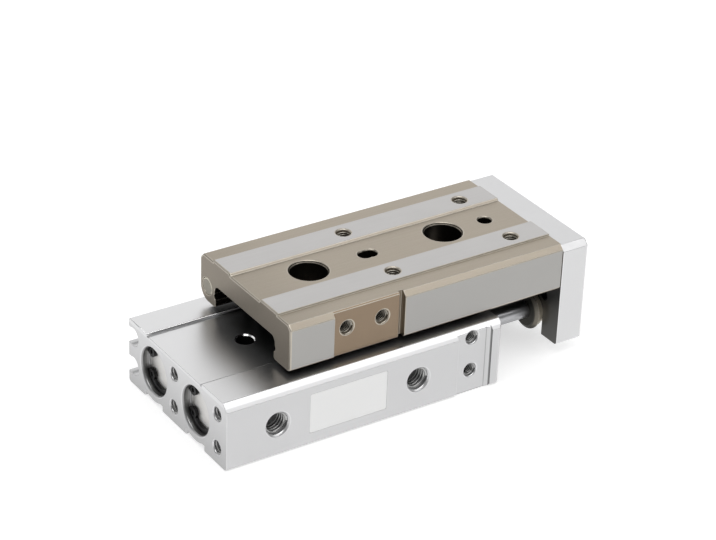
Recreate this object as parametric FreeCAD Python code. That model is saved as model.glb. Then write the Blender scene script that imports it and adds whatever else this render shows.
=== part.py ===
import FreeCAD, Part
import math
import os

# A pneumatic slide table: a flat aluminium body with two side-by-side cylinders carries a steel table on balls.
# The two piston rods push an end plate that is screwed to the front of the table.
# Millimetres. The origin is the middle of the body's bottom face.
# +X is the way the table comes out, -Y the long side with the air ports, +Z up.
# The table is drawn partly out, as it stands at rest.

# Body outline
BODY_LENGTH = 67.0
BODY_WIDTH = 40.0
BODY_HEIGHT = 15.3
TOP_CHAMFER = 1.6
BOTTOM_CHAMFER = 0.6
SMALL_EDGE = 0.4
LIP_CHAMFER = 0.8

# The middle line of the guide and of the pair of cylinders lies a little off the middle of the body
GUIDE_SHIFT = 1.0

# Shallow seat for the guide block, with a relief groove along each side
SEAT_WIDTH = 22.5
SEAT_DEPTH = 0.45
SEAT_RELIEF_WIDTH = 0.8
SEAT_RELIEF_DEPTH = 0.3

# Cylinder bores
BORE_SPACING = 17.1
BORE_HEIGHT = 7.55
BORE_RADIUS = 4.0
REAR_SEAT_RADIUS = 5.25
REAR_SEAT_DEPTH = 5.2
FRONT_SEAT_RADIUS = 5.0
MOUTH_CHAMFER = 0.4
BORE_WALL = 1.7
RELIEF_HALF_WIDTH = 3.7
RELIEF_DEPTH = 1.2

# Switch grooves along the far side
GROOVE_RADIUS = 2.1
GROOVE_MOUTH = 3.7
GROOVE_DEPTH = 4.1
GROOVE_LOW_HEIGHT = 4.5
GROOVE_SPACING = 7.0

# Air ports on the near side, and the passages from the near bore to the far one
PORT_FROM_REAR = 11.95
PORT_SPACING = 33.95
PORT_HEIGHT = 7.4
PORT_RADIUS = 2.5
PORT_DEPTH = 5.5
PORT_MOUTH = 0.45
PASSAGE_RADIUS = 1.0

# Tapped holes all over the part
TAP_RADIUS = 1.5
TAP_MOUTH = 0.25
END_TAP_DEPTH = 8.0
END_TAP_FROM_NEAR_SIDE = 3.8
END_TAP_SPACING_Y = 17.3
END_TAP_LOW_HEIGHT = 3.7
END_TAP_SPACING_Z = 7.8
SIDE_TAP_FROM_FRONT = 7.4
SIDE_TAP_LOW_HEIGHT = 5.15
SIDE_TAP_SPACING = 7.9
SIDE_TAP_DEPTH = 6.0

# Milled pad on the near side, behind the lip at the front end
PAD_LENGTH = 8.5
PAD_DEPTH = 0.7
LIP_LENGTH = 2.6
PAD_RUNOUT = 1.2
PAD_RUNOUT_HEIGHT = 0.4

# Holes that fasten the body, straight through it
MOUNT_SPACING = 33.6
MOUNT_RADIUS = 1.9
MOUNT_MOUTH = 0.25

# Guide block. A rise is a height above the top of the body
BLOCK_LENGTH = 34.0
BLOCK_FROM_FRONT = 5.5
BLOCK_HALF_WIDTH = 11.1
BLOCK_RISE = 5.9
BLOCK_EDGE = 0.6
ACCESS_RADIUS = 3.8
ACCESS_DEPTH = 3.4
RETURN_RADIUS = 0.9
RETURN_OFFSET = 7.6

# Balls and the raceways that they run in
BALL_RADIUS = 0.8
BALL_OFFSET = 11.35
BALL_RISE = 3.8
BALL_PITCH = 4.1
RACEWAY_CLEARANCE = 0.05

# Screws of the guide block
BLOCK_SCREW_FROM_END = 3.5
BLOCK_SCREW_OFFSET = 3.0
BLOCK_SCREW_RADIUS = 1.25
BLOCK_SCREW_BITE = 4.7
BLOCK_SCREW_HEAD_RADIUS = 2.25
BLOCK_SCREW_HEAD = 2.3

# End pieces of the guide block and their wipers
COVER_LENGTH = 3.0
COVER_HALF_WIDTH = 10.8
COVER_RISE = 5.7
COVER_LIFT = 0.3
COVER_EDGE = 1.0
SCRAPER_LENGTH = 0.8
SCRAPER_HALF_WIDTH = 11.15
SCRAPER_RISE = 6.1
COVER_SCREW_OFFSET = 5.6
COVER_SCREW_RISE = 1.6
COVER_SCREW_RADIUS = 1.0
COVER_SCREW_BITE = 3.5
COVER_SCREW_HEAD_RADIUS = 1.7
COVER_SCREW_HEAD = 1.2

# Plugs in the rear ends of the bores
PLUG_FLANGE = 3.0
PLUG_SPIGOT = 4.2
ORING_RADIUS = 0.7
PLUG_ORING_FROM_FLANGE = 1.9
COVER_ORING_FROM_INNER_END = 3.0

# Rings that spring into a groove and hold the plugs and the rod guides
RING_THICKNESS = 0.8
RING_GROOVE_DEPTH = 0.4
REAR_RING_WIDTH = 1.3
FRONT_RING_WIDTH = 1.1
FRONT_RING_SET_BACK = 1.0
RING_GAP_ANGLE = 46.0
RING_EAR_RADIUS = 1.2
RING_EAR_HOLE = 0.5
REAR_RING_TURN = 90.0
FRONT_RING_TURN = 0.0

# Rubber cushions in the cylinders
BUMPER_THICKNESS = 1.5
BUMPER_RADIUS = 3.2
ROD_BUMPER_HOLE = 2.5

# Rods and pistons
ROD_RADIUS = 2.0
ROD_IN_PISTON = 6.5
PISTON_LENGTH = 9.0
PISTON_TAIL_RADIUS = 2.4
PISTON_TAIL = 3.0
PISTON_NOSE_RADIUS = 3.0
PISTON_NOSE = 3.3
STOP_GAP = 0.15
PISTON_SEAL_WIDTH = 1.4
PISTON_SEAL_HEIGHT = 0.95
PISTON_SEAL_FROM_FRONT = 1.2
MAGNET_WIDTH = 2.5
MAGNET_HEIGHT = 0.8
MAGNET_SET_IN = 0.2
MAGNET_FROM_FRONT = 4.4
ROD_SEAL_LENGTH = 2.0
ROD_SEAL_RADIUS = 3.6
ROD_SEAL_FRONT_RECESS = 0.6

# Travel of the table
STROKE = 20.0
REST_EXTENSION = 14.7
RETRACTED_GAP = 0.2

# Flanged bushes that join the rods to the end plate. Their shoulder keeps the flange off the plate
BUSH_FLANGE = 1.4
BUSH_FLANGE_RADIUS = 4.65
BUSH_EDGE = 0.35
BUSH_SHOULDER = 0.8
BUSH_SHOULDER_RADIUS = 4.2
BUSH_NECK_RADIUS = 3.7
BUSH_NECK = 3.6
ROD_IN_BUSH = 3.7
ROD_SCREW_RADIUS = 1.2
ROD_SCREW_BITE = 5.0
ROD_SCREW_HEAD_RADIUS = 2.6
ROD_SCREW_HEAD = 2.4

# Table. Its own rises are heights above its lower edge
TABLE_LENGTH = 67.7
TABLE_HALF_WIDTH = 17.8
TABLE_GAP = 1.1
TABLE_HEIGHT = 11.0
TABLE_CHAMFER = 1.1
BAND_DEPTH = 0.4
STRIP_INNER = 5.7
STRIP_OUTER = 12.7
STRIP_BEVEL = 0.4
CENTRE_DEPTH = 0.5
CHANNEL_DEPTH = 5.3
CHANNEL_HALF_WIDTH = 11.95
CHANNEL_LIP = 11.6
CHANNEL_FILLET = 1.5
LEG_EDGE = 0.5
FAR_LEG_ROUND = 3.2
TABLE_END_EDGE = 0.25

# Holes in the top of the table
TABLE_TAP_FROM_REAR = 29.9
TABLE_TAP_SPACING_X = 30.0
TABLE_TAP_SPACING_Y = 18.8
OPENING_RADIUS = 4.0
OPENING_FROM_REAR = 15.4
OPENING_EDGE = 0.4
DOWEL_RADIUS = 1.5
DOWEL_DEPTH = 3.0
DOWEL_SLOT_LENGTH = 4.3

# Milled pad for a stop bracket, with a relief slit, on the near side of the table
TABLE_PAD_FROM_REAR = 10.6
TABLE_PAD_LENGTH = 17.0
TABLE_PAD_DEPTH = 0.7
SLIT_WIDTH = 1.0
SLIT_DEPTH = 1.6
TABLE_SIDE_TAP_FROM_REAR = 13.9
TABLE_SIDE_TAP_SPACING = 8.6
TABLE_SIDE_TAP_RISE = 6.1
TABLE_SIDE_TAP_DEPTH = 4.0

# Plug in the rear end of the far leg
LEG_PLUG_WALL = 0.925
LEG_PLUG_DEPTH = 3.0
LEG_PLUG_RISE = 3.7
LEG_PLUG_SEAM = 0.05

# End plate
PLATE_THICKNESS = 6.7
PLATE_OVERHANG = 0.2
PLATE_BOTTOM = 2.5
PLATE_LOW_CHAMFER = 0.5
PLATE_BELOW_TABLE = 0.7
PLATE_CHAMFER = 1.3
SLOT_HALF_WIDTH = 3.9
PLATE_SCREW_INNER = 5.2
PLATE_SCREW_FROM_SIDE = 3.4
PLATE_SCREW_BELOW_TABLE = 3.9
PLATE_SCREW_RADIUS = 1.25
PLATE_SCREW_BITE = 6.0
PLATE_SCREW_HEAD_RADIUS = 2.25
PLATE_SCREW_HEAD = 2.5
PLATE_SCREW_SUNK = 0.3
PLATE_TAP_FROM_SIDE = 3.0
PLATE_TAP_LOW_HEIGHT = 8.1
PLATE_TAP_SPACING_Z = 10.0
PLATE_TAP_DEPTH = 5.0
PLATE_PIN_FROM_SIDE = 5.3
PLATE_PIN_HEIGHT = 12.3
PLATE_PIN_RADIUS = 0.9
PLATE_PIN_DEPTH = 2.0

# Clearances
RUNNING_CLEARANCE = 0.05
SEATED_CLEARANCE = 0.1
HEAD_CLEARANCE = 0.15
HOLE_CLEARANCE = 0.1

# Places that follow from the sizes above
REAR = -BODY_LENGTH / 2
FRONT = BODY_LENGTH / 2
NEAR_SIDE = -BODY_WIDTH / 2
FAR_SIDE = BODY_WIDTH / 2
SEAT_FLOOR = BODY_HEIGHT - SEAT_DEPTH
BORES = {"near": GUIDE_SHIFT - BORE_SPACING / 2, "far": GUIDE_SHIFT + BORE_SPACING / 2}
BALL_HEIGHT = BODY_HEIGHT + BALL_RISE
BLOCK_TOP = BODY_HEIGHT + BLOCK_RISE
COVER_TOP = BODY_HEIGHT + COVER_RISE
SCRAPER_TOP = BODY_HEIGHT + SCRAPER_RISE
COVER_SCREW_HEIGHT = BODY_HEIGHT + COVER_SCREW_RISE
TABLE_BOTTOM = BODY_HEIGHT + TABLE_GAP
TABLE_TOP = TABLE_BOTTOM + TABLE_HEIGHT
CHANNEL_TOP = TABLE_BOTTOM + CHANNEL_DEPTH
TABLE_SIDE_TAP_HEIGHT = TABLE_BOTTOM + TABLE_SIDE_TAP_RISE
LEG_PLUG_HEIGHT = TABLE_BOTTOM + LEG_PLUG_RISE
LEG_PLUG_OFFSET = (TABLE_HALF_WIDTH + CHANNEL_HALF_WIDTH) / 2
LEG_PLUG_RADIUS = (TABLE_HALF_WIDTH - CHANNEL_HALF_WIDTH) / 2 - LEG_PLUG_WALL
PLATE_TOP = TABLE_TOP - PLATE_BELOW_TABLE
PLATE_HALF_WIDTH = TABLE_HALF_WIDTH + PLATE_OVERHANG
PLATE_SCREW_OUTER = PLATE_HALF_WIDTH - PLATE_SCREW_FROM_SIDE
PLATE_TAP_OFFSET = PLATE_HALF_WIDTH - PLATE_TAP_FROM_SIDE
PLATE_PIN_OFFSET = PLATE_HALF_WIDTH - PLATE_PIN_FROM_SIDE
PLATE_SCREW_HEIGHT = TABLE_TOP - PLATE_SCREW_BELOW_TABLE
REAR_SEAT_FLOOR = REAR + REAR_SEAT_DEPTH
REAR_RING_FACE = REAR_SEAT_FLOOR - PLUG_FLANGE
FRONT_RING_FACE = FRONT - FRONT_RING_SET_BACK - RING_THICKNESS
HEAD_BUMPER_FACE = REAR_SEAT_FLOOR + PLUG_SPIGOT + BUMPER_THICKNESS
PISTON_TAIL_END = HEAD_BUMPER_FACE + STOP_GAP + REST_EXTENSION
PISTON_REAR = PISTON_TAIL_END + PISTON_TAIL
PISTON_FRONT = PISTON_REAR + PISTON_LENGTH
PISTON_NOSE_END = PISTON_FRONT + PISTON_NOSE
ROD_BUMPER_FACE = PISTON_NOSE_END + STOP_GAP + STROKE - REST_EXTENSION
FRONT_SEAT_FLOOR = ROD_BUMPER_FACE + BUMPER_THICKNESS
FRONT_SEAT_DEPTH = FRONT - FRONT_SEAT_FLOOR
BUSH_REAR = FRONT + RETRACTED_GAP + REST_EXTENSION
BUSH_SHOULDER_REAR = BUSH_REAR + BUSH_FLANGE
PLATE_REAR = BUSH_SHOULDER_REAR + BUSH_SHOULDER
PLATE_FRONT = PLATE_REAR + PLATE_THICKNESS
TABLE_REAR = PLATE_REAR - TABLE_LENGTH
BLOCK_FRONT = FRONT - BLOCK_FROM_FRONT
BLOCK_REAR = BLOCK_FRONT - BLOCK_LENGTH
RACEWAY_RADIUS = BALL_RADIUS + RACEWAY_CLEARANCE
PORT_REAR_X = REAR + PORT_FROM_REAR
PORT_XS = (PORT_REAR_X, PORT_REAR_X + PORT_SPACING)
MOUNT_XS = (-MOUNT_SPACING / 2, MOUNT_SPACING / 2)
TABLE_TAP_XS = (TABLE_REAR + TABLE_TAP_FROM_REAR, TABLE_REAR + TABLE_TAP_FROM_REAR + TABLE_TAP_SPACING_X)
OPENING_XS = (TABLE_REAR + OPENING_FROM_REAR, TABLE_REAR + OPENING_FROM_REAR + MOUNT_SPACING)
BUSH_NECK_END = PLATE_REAR + BUSH_NECK
ROD_END = BUSH_REAR + ROD_IN_BUSH

# Directions
ALONG_X = FreeCAD.Vector(1, 0, 0)
ALONG_Y = FreeCAD.Vector(0, 1, 0)
ALONG_Z = FreeCAD.Vector(0, 0, 1)

# A cut starts this far outside the face that it opens
OUTSIDE = 1.0


class Outline:
    """A closed outline across X, drawn in Y and Z from point to point with lines and arcs."""

    def __init__(self, y, z):
        self.start = self.point(y, z)
        self.last = self.start
        self.edges = []

    @staticmethod
    def point(y, z):
        return FreeCAD.Vector(0, y, z)

    def line(self, y, z):
        end = self.point(y, z)
        self.edges.append(Part.makeLine(self.last, end))
        self.last = end

    def arc(self, middle, end):
        middle_point = self.point(*middle)
        end_point = self.point(*end)
        self.edges.append(Part.Arc(self.last, middle_point, end_point).toShape())
        self.last = end_point

    def extrude(self, x_start, x_end):
        self.line(self.start.y, self.start.z)
        face = Part.Face(Part.Wire(self.edges))
        face.translate(FreeCAD.Vector(x_start, 0, 0))
        return face.extrude(FreeCAD.Vector(x_end - x_start, 0, 0))


def box(x_span, y_span, z_span):
    corner = FreeCAD.Vector(x_span[0], y_span[0], z_span[0])
    return Part.makeBox(x_span[1] - x_span[0], y_span[1] - y_span[0], z_span[1] - z_span[0], corner)


def round_x(x_start, x_end, y, z, radius):
    return Part.makeCylinder(radius, x_end - x_start, FreeCAD.Vector(x_start, y, z), ALONG_X)


def round_y(y_start, y_end, x, z, radius):
    return Part.makeCylinder(radius, y_end - y_start, FreeCAD.Vector(x, y_start, z), ALONG_Y)


def round_z(z_start, z_end, x, y, radius):
    return Part.makeCylinder(radius, z_end - z_start, FreeCAD.Vector(x, y, z_start), ALONG_Z)


def tube_x(x_start, x_end, y, z, outer, inner):
    return round_x(x_start, x_end, y, z, outer).cut(round_x(x_start, x_end, y, z, inner))


def hole(mouth, inward, radius, depth, edge):
    """A round hole from a point on a face, with a chamfered mouth."""
    outside = mouth - inward * OUTSIDE
    drill = Part.makeCylinder(radius, depth + OUTSIDE, outside, inward)
    cone = Part.makeCone(radius + edge + OUTSIDE, radius, edge + OUTSIDE, outside, inward)
    return drill.fuse(cone)


def o_ring(x, y, z, mean_radius):
    return Part.makeTorus(mean_radius, ORING_RADIUS, FreeCAD.Vector(x, y, z), ALONG_X)


def cut_all(shape, tools):
    for tool in tools:
        shape = shape.cut(tool)
    return shape


def body_section():
    """The extruded section of the body: reliefs below, grooves on the far side, a seat on top, chamfers."""
    outline = Outline(NEAR_SIDE + BOTTOM_CHAMFER, 0)
    bulge = REAR_SEAT_RADIUS + BORE_WALL
    meet = math.sqrt(bulge ** 2 - (BORE_HEIGHT - RELIEF_DEPTH) ** 2)
    for y in BORES.values():
        outline.line(y - RELIEF_HALF_WIDTH, 0)
        outline.line(y - RELIEF_HALF_WIDTH, RELIEF_DEPTH)
        outline.line(y - meet, RELIEF_DEPTH)
        outline.arc((y, BORE_HEIGHT - bulge), (y + meet, RELIEF_DEPTH))
        outline.line(y + RELIEF_HALF_WIDTH, RELIEF_DEPTH)
        outline.line(y + RELIEF_HALF_WIDTH, 0)
    outline.line(FAR_SIDE - SMALL_EDGE, 0)
    outline.line(FAR_SIDE, SMALL_EDGE)
    half_mouth = GROOVE_MOUTH / 2
    bottom = FAR_SIDE - GROOVE_DEPTH
    neck = bottom + GROOVE_RADIUS + math.sqrt(GROOVE_RADIUS ** 2 - half_mouth ** 2)
    for z in (GROOVE_LOW_HEIGHT, GROOVE_LOW_HEIGHT + GROOVE_SPACING):
        outline.line(FAR_SIDE, z - half_mouth)
        outline.line(neck, z - half_mouth)
        outline.arc((bottom, z), (neck, z + half_mouth))
        outline.line(FAR_SIDE, z + half_mouth)
    outline.line(FAR_SIDE, BODY_HEIGHT - SMALL_EDGE)
    outline.line(FAR_SIDE - SMALL_EDGE, BODY_HEIGHT)
    seat_near = GUIDE_SHIFT - SEAT_WIDTH / 2
    seat_far = GUIDE_SHIFT + SEAT_WIDTH / 2
    relief_floor = SEAT_FLOOR - SEAT_RELIEF_DEPTH
    outline.line(seat_far, BODY_HEIGHT)
    outline.line(seat_far, relief_floor)
    outline.line(seat_far - SEAT_RELIEF_WIDTH, relief_floor)
    outline.line(seat_far - SEAT_RELIEF_WIDTH, SEAT_FLOOR)
    outline.line(seat_near + SEAT_RELIEF_WIDTH, SEAT_FLOOR)
    outline.line(seat_near + SEAT_RELIEF_WIDTH, relief_floor)
    outline.line(seat_near, relief_floor)
    outline.line(seat_near, BODY_HEIGHT)
    outline.line(NEAR_SIDE + TOP_CHAMFER, BODY_HEIGHT)
    outline.line(NEAR_SIDE, BODY_HEIGHT - TOP_CHAMFER)
    outline.line(NEAR_SIDE, BOTTOM_CHAMFER)
    return outline


def cylinder_cuts(y):
    """One bore with its two end seats and the grooves of its two rings."""
    rear_mouth = FreeCAD.Vector(REAR, y, BORE_HEIGHT)
    front_mouth = FreeCAD.Vector(FRONT, y, BORE_HEIGHT)
    return [
        round_x(REAR_SEAT_FLOOR - OUTSIDE, FRONT_SEAT_FLOOR + OUTSIDE, y, BORE_HEIGHT, BORE_RADIUS),
        hole(rear_mouth, ALONG_X, REAR_SEAT_RADIUS, REAR_SEAT_DEPTH, MOUTH_CHAMFER),
        hole(front_mouth, -ALONG_X, FRONT_SEAT_RADIUS, FRONT_SEAT_DEPTH, MOUTH_CHAMFER),
        round_x(REAR_RING_FACE - RING_THICKNESS, REAR_RING_FACE, y, BORE_HEIGHT,
                REAR_SEAT_RADIUS + RING_GROOVE_DEPTH),
        round_x(FRONT_RING_FACE, FRONT_RING_FACE + RING_THICKNESS, y, BORE_HEIGHT,
                FRONT_SEAT_RADIUS + RING_GROOVE_DEPTH),
    ]


def port_cuts():
    """The two tapped ports into the near bore, and the passages on to the far bore."""
    cuts = []
    for x in PORT_XS:
        mouth = FreeCAD.Vector(x, NEAR_SIDE, PORT_HEIGHT)
        cuts.append(hole(mouth, ALONG_Y, PORT_RADIUS, PORT_DEPTH, PORT_MOUTH))
        cuts.append(round_y(NEAR_SIDE + PORT_DEPTH, BORES["far"], x, PORT_HEIGHT, PASSAGE_RADIUS))
    return cuts


def body_tap_cuts():
    """Tapped holes in the rear end and on the pad of the near side."""
    cuts = []
    first_column = NEAR_SIDE + END_TAP_FROM_NEAR_SIDE
    for y in (first_column, first_column + END_TAP_SPACING_Y):
        for z in (END_TAP_LOW_HEIGHT, END_TAP_LOW_HEIGHT + END_TAP_SPACING_Z):
            cuts.append(hole(FreeCAD.Vector(REAR, y, z), ALONG_X, TAP_RADIUS, END_TAP_DEPTH, TAP_MOUTH))
    for z in (SIDE_TAP_LOW_HEIGHT, SIDE_TAP_LOW_HEIGHT + SIDE_TAP_SPACING):
        mouth = FreeCAD.Vector(FRONT - SIDE_TAP_FROM_FRONT, NEAR_SIDE + PAD_DEPTH, z)
        cuts.append(hole(mouth, ALONG_Y, TAP_RADIUS, SIDE_TAP_DEPTH, TAP_MOUTH))
    return cuts


def pad_cut():
    """The milled pad on the near side, whose floor runs up in a curve towards the lip."""
    end = FRONT - LIP_LENGTH
    start = end - PAD_LENGTH
    floor = NEAR_SIDE + PAD_DEPTH
    outside = NEAR_SIDE - OUTSIDE
    radius = (PAD_RUNOUT ** 2 + PAD_RUNOUT_HEIGHT ** 2) / (2 * PAD_RUNOUT_HEIGHT)
    half = PAD_RUNOUT / 2
    middle = FreeCAD.Vector(end - half, floor - radius + math.sqrt(radius ** 2 - half ** 2), 0)
    corners = [
        FreeCAD.Vector(end, floor - PAD_RUNOUT_HEIGHT, 0),
        FreeCAD.Vector(end, outside, 0),
        FreeCAD.Vector(start, outside, 0),
        FreeCAD.Vector(start, floor, 0),
        FreeCAD.Vector(end - PAD_RUNOUT, floor, 0),
    ]
    edges = [Part.makeLine(a, b) for a, b in zip(corners, corners[1:])]
    edges.append(Part.Arc(corners[-1], middle, corners[0]).toShape())
    pocket = Part.Face(Part.Wire(edges)).extrude(ALONG_Z * (BODY_HEIGHT + 2 * OUTSIDE))
    pocket.translate(FreeCAD.Vector(0, 0, -OUTSIDE))
    return pocket


def lip_edge_cut():
    """The chamfer down the front end of the near side."""
    corner = FreeCAD.Vector(FRONT, NEAR_SIDE, 0)
    points = [
        corner + FreeCAD.Vector(-LIP_CHAMFER, 0, 0),
        corner + FreeCAD.Vector(0, LIP_CHAMFER, 0),
        corner + FreeCAD.Vector(OUTSIDE, -OUTSIDE, 0),
    ]
    wire = Part.makePolygon(points + [points[0]])
    wedge = Part.Face(wire).extrude(ALONG_Z * (BODY_HEIGHT + 2 * OUTSIDE))
    wedge.translate(FreeCAD.Vector(0, 0, -OUTSIDE))
    return wedge


def mount_cuts():
    """The two holes that fasten the body, open at both ends."""
    cuts = []
    for x in MOUNT_XS:
        mouth = FreeCAD.Vector(x, GUIDE_SHIFT, SEAT_FLOOR)
        cuts.append(hole(mouth, -ALONG_Z, MOUNT_RADIUS, SEAT_FLOOR + OUTSIDE, MOUNT_MOUTH))
    return cuts


def block_screw_places():
    places = []
    for x in (BLOCK_REAR + BLOCK_SCREW_FROM_END, BLOCK_FRONT - BLOCK_SCREW_FROM_END):
        for side in (-1, 1):
            places.append((x, GUIDE_SHIFT + side * BLOCK_SCREW_OFFSET))
    return places


def make_body():
    body = body_section().extrude(REAR, FRONT)
    for y in BORES.values():
        body = cut_all(body, cylinder_cuts(y))
    body = cut_all(body, port_cuts() + [pad_cut(), lip_edge_cut()] + body_tap_cuts() + mount_cuts())
    for x, y in block_screw_places():
        body = body.cut(round_z(SEAT_FLOOR - BLOCK_SCREW_BITE, SEAT_FLOOR + OUTSIDE, x, y, BLOCK_SCREW_RADIUS))
    return body


def make_guide_block():
    """The block between the legs of the table, with a raceway down each side."""
    z_reach = math.sqrt(RACEWAY_RADIUS ** 2 - (BALL_OFFSET - BLOCK_HALF_WIDTH) ** 2)
    outline = Outline(GUIDE_SHIFT - BLOCK_HALF_WIDTH, SEAT_FLOOR)
    outline.line(GUIDE_SHIFT + BLOCK_HALF_WIDTH, SEAT_FLOOR)
    outline.line(GUIDE_SHIFT + BLOCK_HALF_WIDTH, BALL_HEIGHT - z_reach)
    outline.arc((GUIDE_SHIFT + BALL_OFFSET - RACEWAY_RADIUS, BALL_HEIGHT),
                (GUIDE_SHIFT + BLOCK_HALF_WIDTH, BALL_HEIGHT + z_reach))
    outline.line(GUIDE_SHIFT + BLOCK_HALF_WIDTH, BLOCK_TOP - BLOCK_EDGE)
    outline.line(GUIDE_SHIFT + BLOCK_HALF_WIDTH - BLOCK_EDGE, BLOCK_TOP)
    outline.line(GUIDE_SHIFT - BLOCK_HALF_WIDTH + BLOCK_EDGE, BLOCK_TOP)
    outline.line(GUIDE_SHIFT - BLOCK_HALF_WIDTH, BLOCK_TOP - BLOCK_EDGE)
    outline.line(GUIDE_SHIFT - BLOCK_HALF_WIDTH, BALL_HEIGHT + z_reach)
    outline.arc((GUIDE_SHIFT - BALL_OFFSET + RACEWAY_RADIUS, BALL_HEIGHT),
                (GUIDE_SHIFT - BLOCK_HALF_WIDTH, BALL_HEIGHT - z_reach))
    block = outline.extrude(BLOCK_REAR, BLOCK_FRONT)
    front_mount = MOUNT_XS[1]
    block = block.cut(round_z(BLOCK_TOP - ACCESS_DEPTH, BLOCK_TOP + OUTSIDE, front_mount, GUIDE_SHIFT,
                              ACCESS_RADIUS))
    block = block.cut(round_z(SEAT_FLOOR - OUTSIDE, BLOCK_TOP, front_mount, GUIDE_SHIFT, MOUNT_RADIUS))
    for x, y in block_screw_places():
        head_room = BLOCK_SCREW_HEAD + PLATE_SCREW_SUNK
        block = block.cut(round_z(SEAT_FLOOR - OUTSIDE, BLOCK_TOP, x, y, BLOCK_SCREW_RADIUS + HOLE_CLEARANCE))
        block = block.cut(round_z(BLOCK_TOP - head_room, BLOCK_TOP + OUTSIDE, x, y,
                                  BLOCK_SCREW_HEAD_RADIUS + HEAD_CLEARANCE))
    for side in (-1, 1):
        y = GUIDE_SHIFT + side * RETURN_OFFSET
        block = block.cut(round_x(BLOCK_REAR - OUTSIDE, BLOCK_FRONT + OUTSIDE, y, BALL_HEIGHT, RETURN_RADIUS))
        y = GUIDE_SHIFT + side * COVER_SCREW_OFFSET
        block = block.cut(round_x(BLOCK_REAR - OUTSIDE, BLOCK_REAR + COVER_SCREW_BITE, y, COVER_SCREW_HEIGHT,
                                  COVER_SCREW_RADIUS))
        block = block.cut(round_x(BLOCK_FRONT - COVER_SCREW_BITE, BLOCK_FRONT + OUTSIDE, y,
                                  COVER_SCREW_HEIGHT, COVER_SCREW_RADIUS))
    return block


def socket_cut(head_face, inward, head_radius, head_height):
    """The hexagon socket in the face of a screw head."""
    across = head_radius
    depth = head_height / 2
    helper = ALONG_Z if abs(inward.z) < 1 else ALONG_X
    first = inward.cross(helper)
    second = inward.cross(first)
    corners = []
    for i in range(6):
        angle = math.radians(60 * i)
        corners.append(head_face + (first * math.cos(angle) + second * math.sin(angle)) * across / math.sqrt(3))
    wire = Part.makePolygon(corners + [corners[0]])
    return Part.Face(wire).extrude(inward * depth)


def socket_screw(head_seat, inward, radius, length, head_radius, head_height):
    """A screw with a cylindrical head. Its head rests at head_seat and its shank points inward."""
    head_face = head_seat - inward * head_height
    head = Part.makeCylinder(head_radius, head_height, head_face, inward)
    shank = Part.makeCylinder(radius, length, head_seat, inward)
    screw = head.fuse(shank).removeSplitter()
    return screw.cut(socket_cut(head_face, inward, head_radius, head_height))


def make_block_screws():
    seat = BLOCK_TOP - PLATE_SCREW_SUNK - BLOCK_SCREW_HEAD
    length = seat - SEAT_FLOOR + BLOCK_SCREW_BITE
    return Part.Compound([
        socket_screw(FreeCAD.Vector(x, y, seat), -ALONG_Z, BLOCK_SCREW_RADIUS, length,
                     BLOCK_SCREW_HEAD_RADIUS, BLOCK_SCREW_HEAD)
        for x, y in block_screw_places()
    ])


def make_balls(side):
    """One loaded row of balls, evenly spaced along the block."""
    count = int((BLOCK_LENGTH - 2 * BALL_RADIUS) / BALL_PITCH) + 1
    first = (BLOCK_REAR + BLOCK_FRONT) / 2 - BALL_PITCH * (count - 1) / 2
    y = GUIDE_SHIFT + side * BALL_OFFSET
    balls = []
    for i in range(count):
        balls.append(Part.makeSphere(BALL_RADIUS, FreeCAD.Vector(first + i * BALL_PITCH, y, BALL_HEIGHT)))
    return Part.Compound(balls)


def end_piece(x_start, x_end, half_width, top, bottom):
    """A flat piece across the end of the guide block with bevelled upper corners and two screw holes."""
    outline = Outline(GUIDE_SHIFT - half_width, bottom)
    outline.line(GUIDE_SHIFT + half_width, bottom)
    outline.line(GUIDE_SHIFT + half_width, top - COVER_EDGE)
    outline.line(GUIDE_SHIFT + half_width - COVER_EDGE, top)
    outline.line(GUIDE_SHIFT - half_width + COVER_EDGE, top)
    outline.line(GUIDE_SHIFT - half_width, top - COVER_EDGE)
    piece = outline.extrude(x_start, x_end)
    for side in (-1, 1):
        y = GUIDE_SHIFT + side * COVER_SCREW_OFFSET
        piece = piece.cut(round_x(x_start - OUTSIDE, x_end + OUTSIDE, y, COVER_SCREW_HEIGHT,
                                  COVER_SCREW_RADIUS + HOLE_CLEARANCE))
    return piece


def block_end(end):
    """The face of the guide block at one end, and the way out of it."""
    if end == "rear":
        return BLOCK_REAR, -1
    return BLOCK_FRONT, 1


def make_cover(end):
    face, way = block_end(end)
    spans = sorted((face, face + way * COVER_LENGTH))
    return end_piece(spans[0], spans[1], COVER_HALF_WIDTH, COVER_TOP, SEAT_FLOOR + COVER_LIFT)


def make_scraper(end):
    face, way = block_end(end)
    inner = face + way * COVER_LENGTH
    spans = sorted((inner, inner + way * SCRAPER_LENGTH))
    return end_piece(spans[0], spans[1], SCRAPER_HALF_WIDTH, SCRAPER_TOP, SEAT_FLOOR + COVER_LIFT)


def make_cover_screws():
    screws = []
    length = SCRAPER_LENGTH + COVER_LENGTH + COVER_SCREW_BITE
    for end in ("rear", "front"):
        face, way = block_end(end)
        seat_x = face + way * (COVER_LENGTH + SCRAPER_LENGTH)
        for side in (-1, 1):
            seat = FreeCAD.Vector(seat_x, GUIDE_SHIFT + side * COVER_SCREW_OFFSET, COVER_SCREW_HEIGHT)
            screws.append(socket_screw(seat, ALONG_X * -way, COVER_SCREW_RADIUS, length,
                                       COVER_SCREW_HEAD_RADIUS, COVER_SCREW_HEAD))
    return Part.Compound(screws)


def oring_groove(x, y, carrier_radius, bore_radius):
    """The groove of an O-ring that is squeezed between its carrier and the wall outside it."""
    bottom = bore_radius - 2 * ORING_RADIUS
    return tube_x(x - ORING_RADIUS, x + ORING_RADIUS, y, BORE_HEIGHT, carrier_radius + OUTSIDE, bottom)


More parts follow.
